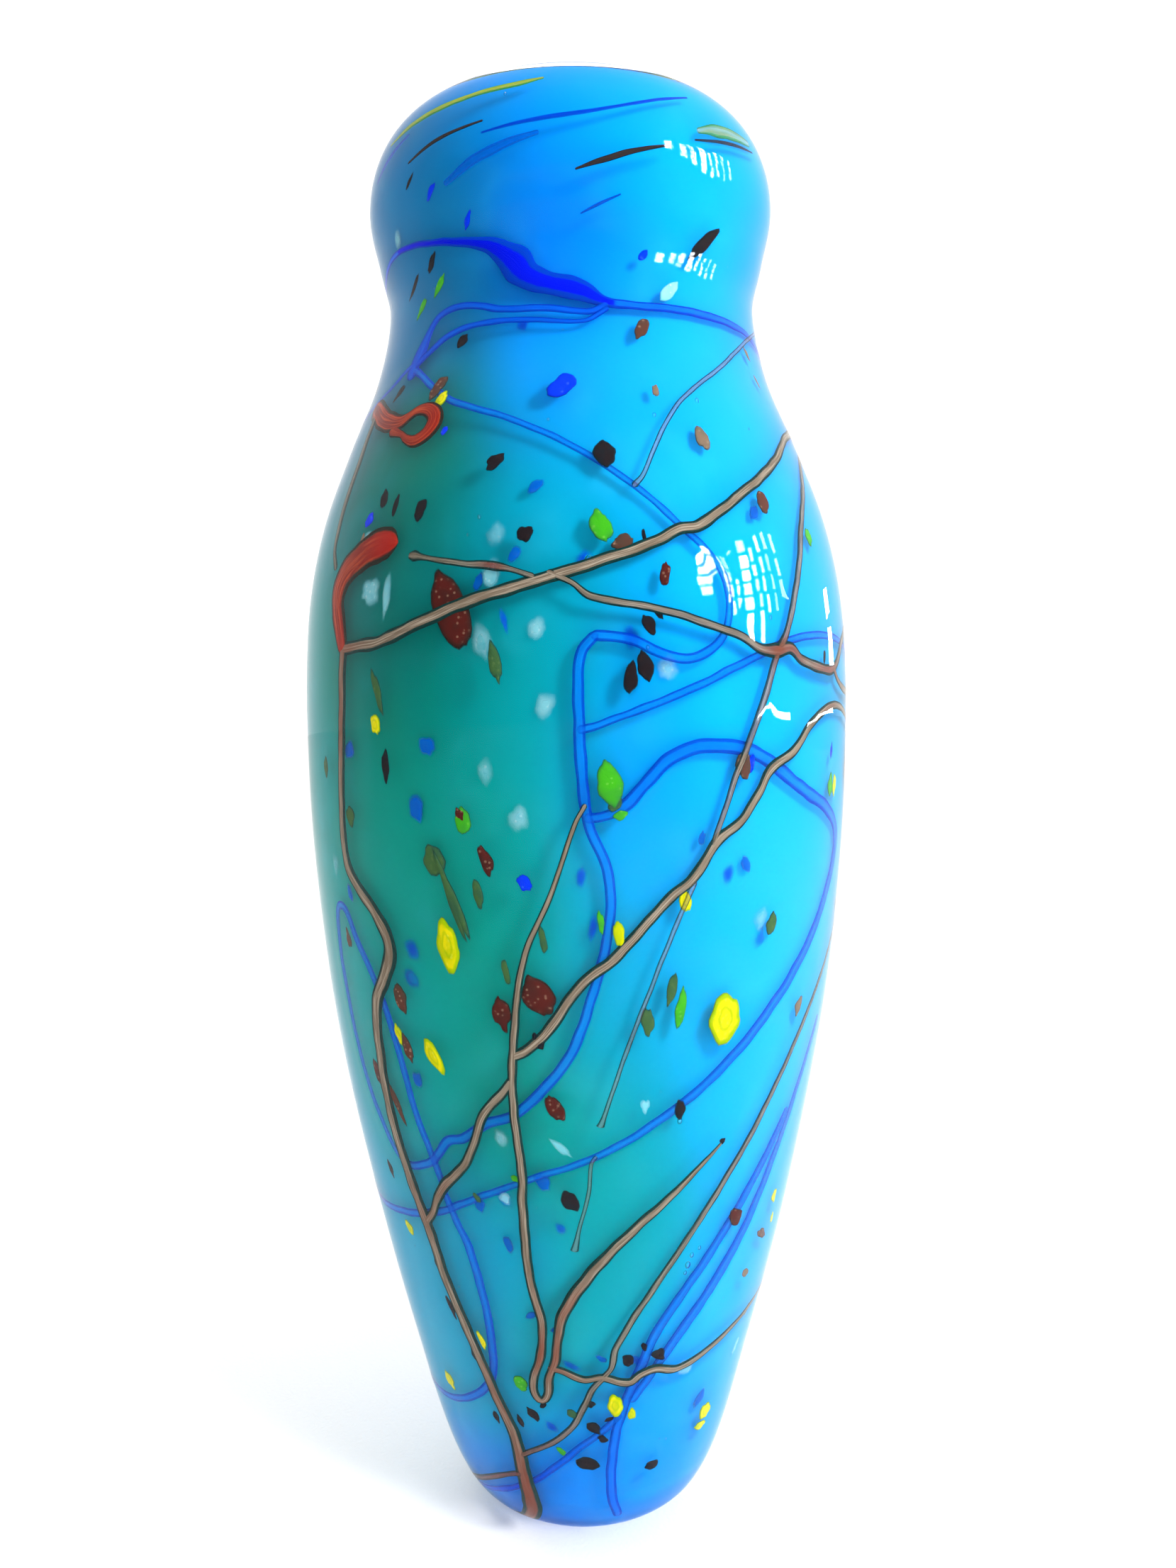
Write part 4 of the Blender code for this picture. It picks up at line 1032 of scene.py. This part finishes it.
def chip_mesh(azimuth, height, length, width, turn, depth, rough, seed):
    """Points, faces and distance from the middle of one melted chip."""
    cosine = math.cos(math.radians(turn))
    sine = math.sin(math.radians(turn))
    thickness = min(max(width * 0.3, 0.4), 1.1)
    slender = min(2 * (1 - width / length), 1)
    reach = []
    for k in range(CHIP_SECTORS):
        angle = math.tau * k / CHIP_SECTORS
        spot = Vector((math.cos(angle) * 1.1 + seed * 3.7, math.sin(angle) * 1.1, seed))
        reach.append(1 + rough * noise.noise(spot) + rough * 0.4 * noise.noise(spot * 2.6))
    verts, edge = [], []

    def add(part, k, rise):
        angle = math.tau * k / CHIP_SECTORS
        long = length / 2 * math.cos(angle) * reach[k] * part
        pointed = 1 - 0.3 * slender * abs(math.cos(angle)) ** 3
        short = width / 2 * math.sin(angle) * reach[k] * part * pointed
        moved = surface_offset(azimuth, height, long * cosine - short * sine, long * sine + short * cosine)
        verts.append(surface_point(*moved, depth - rise * thickness / 2))
        edge.append(part)

    add(0, 0, 1)
    for part in CHIP_RINGS:
        for k in range(CHIP_SECTORS):
            add(part, k, math.sqrt(max(1 - part ** 2.5, 0)))
    for part in reversed(CHIP_RINGS[:-1]):
        for k in range(CHIP_SECTORS):
            add(part, k, -math.sqrt(max(1 - part ** 2.5, 0)))
    add(0, 0, -1)
    faces = []
    ring_count = 2 * len(CHIP_RINGS) - 1
    for k in range(CHIP_SECTORS):
        following = (k + 1) % CHIP_SECTORS
        faces.append((0, 1 + k, 1 + following))
        for ring in range(ring_count - 1):
            a, b = 1 + ring * CHIP_SECTORS, 1 + (ring + 1) * CHIP_SECTORS
            faces.append((a + k, b + k, b + following, a + following))
        base = 1 + (ring_count - 1) * CHIP_SECTORS
        faces.append((len(verts) - 1, base + following, base + k))
    return verts, faces, edge


def make_chips(name, glass, shapes, node=None):
    """One piece with one or more chips of the same glass.

    A shape is azimuth, height, length, width, turn, depth, unevenness, softness and density.
    """
    verts, faces, edge, soft, dense = [], [], [], [], []
    for i, (azimuth, height, length, width, turn, depth, rough, softness, density) in enumerate(shapes):
        seed = len(name) * 1.3 + i * 0.77
        points, flats, edges = chip_mesh(azimuth, height, length, width, turn, depth, rough, seed)
        faces.extend([tuple(v + len(verts) for v in flat) for flat in flats])
        verts.extend(points)
        edge.extend(edges)
        soft.extend([softness] * len(points))
        dense.extend([density] * len(points))
    piece = new_piece(name, verts, faces, CHIP_GLASSES[glass], node, CHIP_SLOTS[glass])
    paint(piece, "edge", edge)
    paint(piece, "soft", soft)
    paint(piece, "dense", dense)
    return piece


# Smaller chips, by glass and depth: azimuth, height, length, width and turn.
NEAR = (1.1, 0.42, 0.10, 1.0)
MILKY = (1.6, 0.5, 0.55, 0.45)
MIDDLE = (2.6, 0.42, 0.35, 0.7)
DEEP = (3.9, 0.34, 0.8, 0.42)
FRIT = {
    ("black", NEAR): [
        (-53.3, 334, 7.5, 1.6, 48), (-44, 337.6, 6.4, 1.8, 52), (-47, 356.6, 5.0, 0.9, 38),
        (-29.6, 315.8, 3.8, 2.8, 50), (-48.9, 305.8, 6.0, 2.4, 52), (-41.5, 277.7, 5.4, 2.4, -82),
        (-37.5, 275, 6.4, 1.6, 84), (-30.8, 273.6, 5.4, 3.5, 78), (-15.8, 283.6, 5.6, 3.4, 40),
        (-8.6, 266.5, 4.6, 3.7, 40), (-37, 214, 7.6, 2.8, -86), (9.4, 234, 7.6, 3.4, 80),
        (12.9, 245.4, 5.2, 3.0, -70), (14.6, 248.2, 3.4, 1.4, -50), (12.75, 265, 4.8, 1.2, -86),
        (-8, 150.4, 4.8, 2.6, -66), (32.25, 121, 1.9, 1.7, 0), (20.75, 132, 5.6, 3.0, -80),
        (56.5, 239, 4.0, 1.6, 80), (-52.5, 108, 5.0, 2.2, -70), (16.75, 66.5, 3.0, 1.6, -60),
        (21.25, 63.3, 5.0, 3.4, -50), (12.25, 63, 5.0, 3.0, -60), (2.75, 42.5, 4.6, 3.0, -50),
        (5.75, 38.9, 3.2, 2.0, -40), (7.5, 45, 2.4, 1.4, 30), (-16.25, 46, 5.2, 2.8, -52),
        (-23.6, 39, 5.4, 2.0, -70), (-30, 42, 4.6, 1.9, -80), (-21.2, 42.6, 4.4, 1.8, -70),
        (-12.75, 49.2, 2.4, 1.6, 60), (24.75, 27, 4.0, 3.2, 20), (-38.8, 73, 7.0, 2.2, -72),
        (-40.6, 85, 4.0, 1.6, -70), (-2.6, 110, 6.4, 4.0, -60), (1.5, 50.5, 3.4, 2.0, -40),
        (-34, 60, 3.4, 1.4, -72),
    ],
    ("maroon", NEAR): [
        (16.25, 257, 6.0, 2.8, 78), (-5.15, 133.8, 7.8, 4.0, -72), (-21, 203, 4.6, 2.6, -60),
        (-16.5, 193, 7.0, 3.2, -70), (40.25, 98, 6.4, 4.4, -60), (-14.9, 157, 9.4, 4.4, -78),
        (-49, 136, 7.0, 3.0, -78),
    ],
    ("brown", NEAR): [
        (8.6, 264, 5.4, 4.2, 20), (31.6, 213.7, 7.6, 4.6, -76), (-38, 158, 8.0, 4.0, -74),
        (-37.5, 145, 7.4, 3.0, -76), (-54, 170, 6.0, 3.0, -80), (18.6, 317, 7.0, 2.8, 62),
        (40.6, 276, 6.6, 4.0, -80), (-33.9, 304.4, 6.8, 4.0, 62), (55, 87.5, 7.0, 2.6, -35),
        (-43.5, 128, 13.0, 2.4, -66),
    ],
    ("tan", NEAR): [
        (28.4, 290, 6.8, 4.0, -82), (19.2, 301, 3.6, 2.0, 84), (57.8, 317, 4.4, 1.8, -60),
        (59, 310, 3.8, 1.4, -70), (52.5, 151, 5.2, 3.4, 70), (-46, 268, 4.4, 1.6, 80),
        (50, 78, 4.0, 2.4, -50),
    ],
    ("yellow", NEAR): [
        (-39.5, 224, 5.2, 3.6, -80), (-32, 301.2, 5.0, 3.2, 40), (-39.75, 148, 6.0, 2.8, -74),
        (-29.7, 66, 5.4, 2.0, -72), (-49.5, 92.5, 4.6, 3.2, -60), (-49.25, 46.7, 6.0, 3.8, -60),
        (46.2, 37.4, 5.8, 4.8, -70), (45, 32.8, 5.0, 2.6, -10), (7.2, 176, 6.8, 2.8, -84),
        (19.6, 183, 6.6, 3.0, -80), (14.75, 45.8, 4.2, 2.0, -80), (62.5, 206.7, 6.0, 3.0, 84),
        (58, 97, 5.0, 3.0, -70), (60, 90, 4.0, 2.2, -70),
    ],
    ("green", NEAR): [
        (4.9, 268, 8.2, 5.2, -74), (55.25, 269, 5.6, 3.4, -80), (19.4, 157, 10.6, 2.6, 84),
        (-40.6, 331.7, 6.0, 2.2, 56), (-48, 327.4, 6.6, 2.4, 56), (-20.75, 202, 6.8, 3.6, -80),
        (-19.25, 55.4, 5.6, 3.8, -60), (-8, 34.8, 3.2, 2.0, -50), (4.0, 179, 6.0, 1.6, -84),
        (60, 207.5, 7.0, 3.6, 84), (7.5, 203.4, 3.2, 2.6, 30), (-14.4, 115, 2.8, 1.8, -30),
    ],
    ("olive", NEAR): [
        (17.4, 162, 8.4, 2.7, 78), (12.9, 155, 8.4, 3.0, -84), (40, 174.6, 6.0, 3.4, 78),
        (-14, 237.5, 9.4, 3.0, -80), (-23.6, 184, 26.0, 3.2, -70), (-27, 192.5, 8.0, 5.4, -62),
        (-18.3, 185.8, 8.0, 2.4, -78), (-6.5, 175, 6.4, 2.0, -80), (-38.8, 232, 12.0, 2.4, -72),
        (-48.3, 201, 6.0, 3.6, -80), (-58, 213, 5.0, 3.0, -80), (-3.5, 47, 4.4, 2.4, -50),
        (6.6, 206, 3.4, 4.0, 0), (-24.2, 108.5, 3.0, 1.6, -60), (-13.6, 167, 6.6, 2.0, -82),
    ],
    ("cobalt", NEAR): [
        (-9.6, 188, 4.4, 3.4, -60), (20.6, 335, 3.6, 1.8, 30), (-28.6, 344.2, 5.0, 1.8, 62),
        (-39.5, 352.4, 4.6, 1.6, 44), (33, 214, 4.6, 2.2, 80), (60, 215.6, 4.6, 1.6, 80),
        (-29, 292.8, 2.6, 1.8, 60), (-45, 273, 4.0, 2.6, 60),
    ],
    ("blue", MIDDLE): [
        (-17.5, 256, 5.0, 2.8, 70), (-48.5, 217.5, 5.4, 4.6, 60), (-28, 219, 5.4, 4.6, -60),
        (-30.75, 204, 8.0, 4.8, -78), (38, 273, 4.4, 3.0, 60), (33, 190, 5.4, 3.0, -70),
        (-36.7, 136.7, 4.6, 3.6, -60), (-8.5, 114, 5.6, 4.0, -50), (-18, 96, 5.4, 2.4, -76),
        (-24, 106, 5.0, 3.0, -70), (41.5, 42.5, 6.4, 3.6, 60), (-52, 181.7, 5.0, 3.0, -70),
        (-11, 262, 4.6, 3.0, 60), (-7.4, 277.7, 4.6, 3.4, 40), (5, 63.5, 4.0, 2.0, -40),
        (-7.2, 72, 4.2, 2.2, 0), (-14, 76, 3.4, 2.4, 40), (23, 197, 4.0, 2.0, 80),
    ],
    ("cobalt", DEEP): [
        (-34.5, 170, 7.0, 5.4, -70), (-35.5, 162.5, 7.0, 5.0, -70), (-12.75, 247, 8.0, 2.4, -74),
        (10, 243, 6.4, 4.6, -80), (29.4, 188, 6.0, 4.0, 70), (38, 171, 6.0, 4.0, 70),
        (0.4, 189, 6.4, 3.0, 80), (2.6, 177, 8.0, 2.6, 80), (-18, 108, 6.0, 4.4, -70),
        (-5, 101, 4.6, 3.0, -60), (16, 61, 8.0, 3.0, -36), (1.8, 260.6, 6.0, 4.6, 60),
        (-13.3, 318.7, 4.6, 3.4, 40), (-4, 61, 7.6, 2.6, -30), (-11, 41, 6.0, 3.0, -40),
    ],
    ("white", MILKY): [
        (-37.2, 254, 12.4, 3.0, 84), (-41.9, 255.4, 9.0, 7.0, 60), (-45, 268, 5.4, 4.4, 50),
        (-4.25, 123.6, 7.4, 2.4, -44), (13.2, 133.4, 4.8, 3.2, 84), (31.5, 56, 7.4, 4.4, -20),
        (-15, 257, 8.6, 4.6, 88), (57.5, 52.5, 5.6, 2.6, 70), (58, 63, 5.2, 2.0, 78),
        (-17.2, 109, 4.6, 3.2, -60),
    ],
    ("white", DEEP): [
        (-60, 347, 6.0, 4.0, 60), (16.5, 236, 7.6, 5.6, 84), (-14.8, 267, 7.0, 5.0, 80),
        (-17, 242.5, 10.0, 6.0, -78), (-58, 188, 8.0, 5.0, 80), (-17.5, 124.6, 6.0, 3.6, -60),
        (-7, 245, 7.0, 5.0, 80), (-5.5, 228, 7.0, 6.0, 70), (38, 176, 7.0, 5.0, 60),
        (-10.5, 203, 8.0, 6.0, 80), (-16.6, 213, 7.0, 5.0, -80),
    ],
}

# The same kinds of chips round the unseen side: how many of each, and their usual length.
BACK_FRIT = {
    "black": (26, 5.6), "maroon": (9, 7.0), "brown": (10, 6.4), "yellow": (12, 6.4), "green": (10, 6.4),
    "olive": (12, 7.4), "cobalt": (9, 5.4), "blue": (14, 5.4), "white": (8, 6.4), "tan": (6, 4.6),
}
BACK_FROM = 70
BACK_TO = 292
BACK_LOW = 26
BACK_HIGH = 318


# How far the bone-shaped chip spread when it melted.
BONE_SPREAD = 1.25


def make_all_chips():
    draw = random.Random(11)
    for name, (glass, azimuth, height, length, width, turn) in CHIPS.items():
        melted = BONE_SPREAD if name == "bone_chip" else 1.0
        deep = 1.6 if name == "bone_chip" else 0.9
        shape = (azimuth, height, length * melted, width * melted, turn, deep, 0.3, 0.05, 1.0)
        make_chips(name + "_glass", glass, [shape], name)
    for (glass, (depth, rough, softness, density)), rows in FRIT.items():
        shapes = [(*row, depth + draw.uniform(-0.3, 0.4), rough, softness, density) for row in rows]
        make_chips(f"{glass}_frit_{round(depth)}", glass, shapes)
    for glass, (count, usual) in BACK_FRIT.items():
        shapes = []
        for _ in range(count):
            length = usual * draw.uniform(0.6, 1.5)
            width = length * draw.uniform(0.35, 0.65)
            azimuth = draw.uniform(BACK_FROM, BACK_TO)
            height = draw.uniform(BACK_LOW, BACK_HIGH)
            turn = draw.gauss(-76, 16)
            depth, rough, softness, density = draw.choice((NEAR, NEAR, NEAR, MIDDLE))
            shapes.append((azimuth, height, length, width, turn, depth, rough, softness, density))
        make_chips(f"back_{glass}_frit", glass, shapes)


# Streaks that the spinning of the head has drawn out of chips.
DRAWN = {
    "navy_long_streak": (NAVY_STREAK, 0.0, [
        (-21.7, 361.8, 0.5), (-5, 363.4, 1.2), (5, 364.7, 1.0), (14.4, 367, 0.8), (22.8, 369.6, 0.9),
        (32.8, 372.7, 0.5)]),
    "navy_blurred_streak": (NAVY_STREAK, 0.5, [(-65, 363, 0.8), (-57, 366, 1.4), (-48, 368.4, 0.6)]),
    "black_left_streak": (BLACK_STREAK, 0.0, [(-46, 361, 0.5), (-36, 363.2, 1.0), (-22.5, 364.6, 0.5)]),
    "thin_right_streak": (BLACK_STREAK, 0.3, [(34, 362, 0.5), (46, 364.6, 0.9), (59, 367, 0.5)]),
    "thin_low_streak": (NAVY_STREAK, 0.3, [(3.3, 343, 0.4), (8, 345, 0.8), (12.8, 347, 0.4)]),
    "faint_head_streak": (NAVY_STREAK, 0.7, [(-34, 353, 1.4), (-22, 357, 2.4), (-8, 360, 1.2)]),
    "olive_head_smear": (YELLOW_STREAK, 0.65, [(35, 364.6, 1.6), (44, 367.2, 3.6), (58, 369, 2.0)]),
}


def make_drawn_streaks():
    for i, (name, (material, clearness, path)) in enumerate(DRAWN.items()):
        slot = "black_glass" if material is BLACK_STREAK else "cobalt_glass"
        make_thread(name, path, material, slot, 1.0, 120 + i, clearness, 0.0, False)


def make_seeds():
    """Small air bubbles in the clear glass."""
    draw = random.Random(5)
    spots = [
        (27, 88, 0.8), (26.4, 86, 0.5), (28, 90.4, 0.6), (30, 92, 0.5), (-18, 271, 0.45), (-20, 267, 0.35),
        (2.6, 260, 1.1), (13, 245.6, 0.5), (12.6, 240.6, 0.45), (38.8, 248, 0.5), (18, 295, 0.5),
        (30, 300, 0.6), (24, 297, 0.4), (-44, 332, 0.4), (21, 128.6, 0.7),
    ]
    for _ in range(70):
        spots.append((draw.uniform(-180, 180), draw.uniform(30, 372), draw.uniform(0.18, 0.42)))
    verts, faces = [], []
    rings, sectors = 6, 10
    for azimuth, height, radius in spots:
        middle = surface_point(azimuth, height, draw.uniform(1.4, 3.2))
        base = len(verts)
        for ring in range(rings + 1):
            tilt = math.pi * ring / rings
            for k in range(sectors):
                angle = math.tau * k / sectors
                level = math.sin(tilt)
                spot = Vector((level * math.cos(angle), level * math.sin(angle), math.cos(tilt) * 1.3))
                verts.append(middle + spot * radius)
        for ring in range(rings):
            for k in range(sectors):
                following = (k + 1) % sectors
                a, b = base + ring * sectors, base + (ring + 1) * sectors
                faces.append((a + k, b + k, b + following, a + following))
    return new_piece("seed_bubbles", verts, faces, seed_glass(), None, "clear_glass")


# ---------------------------------------------------------------- stage

CAMERA_PLACE = (0.0, -0.325, 0.228)
CAMERA_PITCH = -4.0
CAMERA_ROLL = -0.7
CAMERA_LENS = 26.0
CAMERA_SHIFT = 0.007

# Panes of the window as the glass mirrors them: azimuth and elevation ranges, how many lights one
# above another, and strength.
PANES = [
    (51, 58, 15, 25, 4, 260), (60, 64.5, 13, 24, 5, 300), (66.5, 70.5, 10, 25, 4, 220),
    (73, 77.5, 8, 26, 6, 300), (80, 82, 8, 24, 5, 180), (84, 86, 10, 26, 4, 180), (89, 91, 10, 26, 4, 120),
    (94, 96, 12, 25, 3, 80), (73, 98, -1.8, -1.0, 1, 280), (100, 137, -1.5, -0.8, 1, 140),
    (128.5, 134, 3, 11, 2, 160),
]
GLAZING_BAR = 0.22
PANE_DISTANCE = 4.0
PANE_AIM = Vector((0.03, -0.05, 0.24))


def direction(azimuth, elevation):
    a, e = math.radians(azimuth), math.radians(elevation)
    return Vector((math.sin(a) * math.cos(e), -math.cos(a) * math.cos(e), math.sin(e)))


def area_light(name, azimuth, elevation, distance, wide, tall, power, colour=(1, 1, 1)):
    light = bpy.data.lights.new(name, "AREA")
    light.shape = "RECTANGLE"
    light.size = wide
    light.size_y = tall
    light.energy = power
    light.color = colour
    made = bpy.data.objects.new(name, light)
    away = direction(azimuth, elevation)
    made.location = PANE_AIM + away * distance
    made.rotation_euler = away.to_track_quat("Z", "Y").to_euler()
    made.visible_camera = False
    bpy.context.scene.collection.objects.link(made)
    return made


def make_panes():
    """The lights of the window, some dimmed by curtains, that only the gloss of the glass sees."""
    draw = random.Random(3)
    for i, (left, right, low, high, rows, radiance) in enumerate(PANES):
        step = (high - low) / rows
        for row in range(rows):
            middle = low + step * (row + 0.5)
            wide = math.radians(right - left) * PANE_DISTANCE * draw.uniform(0.6, 1.0)
            tall = math.radians(step) * PANE_DISTANCE * (1 - GLAZING_BAR)
            power = radiance * draw.uniform(0.2, 1.0) * math.pi * wide * tall
            aside = (left + right) / 2 + draw.uniform(-0.6, 0.6)
            pane = area_light(f"pane_{i}_{row}", aside, middle, PANE_DISTANCE, wide, tall, power,
                              (0.80, 0.97, 1.0))
            pane.visible_diffuse = False


def make_lights():
    key = area_light("key", 50, 32, 1.3, 0.3, 0.36, 17.0)
    key.visible_glossy = False
    fill = area_light("fill", -10, 30, 1.6, 1.2, 1.0, 2.5)
    fill.visible_glossy = False
    back = area_light("back", 190, 40, 1.8, 1.6, 1.2, 5.0)
    back.visible_glossy = False
    make_panes()


def make_world():
    """A white room, less bright on the camera's side and to the left."""
    world = bpy.data.worlds.new("room")
    world.use_nodes = True
    tree = world.node_tree
    tree.nodes.clear()
    output = tree.nodes.new("ShaderNodeOutputWorld")
    background = tree.nodes.new("ShaderNodeBackground")
    coordinates = tree.nodes.new("ShaderNodeTexCoord")
    split = tree.nodes.new("ShaderNodeSeparateXYZ")
    lean = tree.nodes.new("ShaderNodeMath")
    lean.operation = "MULTIPLY_ADD"
    lean.inputs[1].default_value = 0.3
    level = tree.nodes.new("ShaderNodeMapRange")
    level.interpolation_type = "SMOOTHSTEP"
    for key, value in (("From Min", -0.9), ("From Max", -0.1), ("To Min", 0.5), ("To Max", 1.3)):
        level.inputs[key].default_value = value
    background.inputs["Color"].default_value = (1.0, 1.0, 1.0, 1.0)
    tree.links.new(coordinates.outputs["Generated"], split.inputs[0])
    tree.links.new(split.outputs["X"], lean.inputs[0])
    tree.links.new(split.outputs["Y"], lean.inputs[2])
    tree.links.new(lean.outputs[0], level.inputs["Value"])
    tree.links.new(level.outputs[0], background.inputs["Strength"])
    tree.links.new(background.outputs[0], output.inputs["Surface"])
    bpy.context.scene.world = world


def floor_paper():
    n = Nodes("pale_paper_with_painted_shadow")
    place = n.place()
    fibre = n.noise(place, 900.0, 3.0)
    cloud = n.noise(place, 6.0, 2.0)
    white = n.mix(cloud, (0.93, 0.915, 0.90), (0.95, 0.945, 0.94))
    apart = n.add("ShaderNodeSeparateXYZ", {0: place}).outputs
    depth = apart["Y"]
    # Painted shadow: a warm grey patch on the paper to the left of the vase and in front of it, where the
    # vase's shadow falls.
    to_left = n.spread(apart["X"], -0.3, -0.02, 1.0, 0.0)
    in_front = n.spread(depth, -0.06, 0.14, 1.0, 0.0)
    painted_shadow = n.math("MULTIPLY", to_left, in_front)
    white = n.mix(painted_shadow, white, (0.72, 0.67, 0.62))
    # Painted shade: the paper turns grey far in front of the vase, past the camera, where the glass mirrors
    # it.
    colour = n.mix(n.spread(depth, -2.2, -0.45), (0.72, 0.715, 0.71), white)
    return n.finish(n.surface(colour, 0.8, n.bump(fibre, 0.0002), 0.2))


def make_floor():
    """A round pale table top under the vase, its paper with a painted shadow beside the vase and painted
    shade far in front.
    """
    verts = [Vector((0, 0, 0))]
    faces = []
    radii = (40, 80, 160, 320, 640, 1400, 4000, 9000)
    sectors = 96
    for radius in radii:
        for k in range(sectors):
            angle = math.tau * k / sectors
            verts.append(Vector((radius * math.sin(angle), -radius * math.cos(angle), 0)))
    for k in range(sectors):
        following = (k + 1) % sectors
        faces.append((0, 1 + k, 1 + following))
        for ring in range(len(radii) - 1):
            a, b = 1 + ring * sectors, 1 + (ring + 1) * sectors
            faces.append((a + k, b + k, b + following, a + following))
    mesh = bpy.data.meshes.new("table_top")
    mesh.from_pydata([vert * MM for vert in verts], [], faces)
    mesh.materials.append(floor_paper())
    made = bpy.data.objects.new("table_top", mesh)
    made.location = (0, 0, -0.0003)
    bpy.context.scene.collection.objects.link(made)
    made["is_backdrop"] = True


def make_camera():
    camera = bpy.data.cameras.new("camera")
    camera.sensor_fit = "AUTO"
    camera.sensor_width = 36.0
    camera.lens = CAMERA_LENS
    camera.shift_x = CAMERA_SHIFT
    camera.clip_start = 0.01
    made = bpy.data.objects.new("camera", camera)
    made.location = CAMERA_PLACE
    made.rotation_mode = "XYZ"
    level = Vector((0, 1, 0)).to_track_quat("-Z", "Y").to_matrix()
    pitch = Matrix.Rotation(math.radians(CAMERA_PITCH), 3, "X")
    roll = Matrix.Rotation(math.radians(CAMERA_ROLL), 3, "Z")
    made.rotation_euler = (pitch @ level @ roll).to_euler()
    bpy.context.scene.collection.objects.link(made)
    bpy.context.scene.camera = made


make_camera()
make_floor()
make_world()
make_lights()
make_casing()
make_bubble()
make_threads()
make_all_chips()
make_drawn_streaks()
make_seeds()
bpy.context.scene.view_settings.view_transform = "Standard"

boxes = {"cad": CAD_BOX, "visual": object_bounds()}
{name: [list(corner) for corner in box] for name, box in boxes.items()}
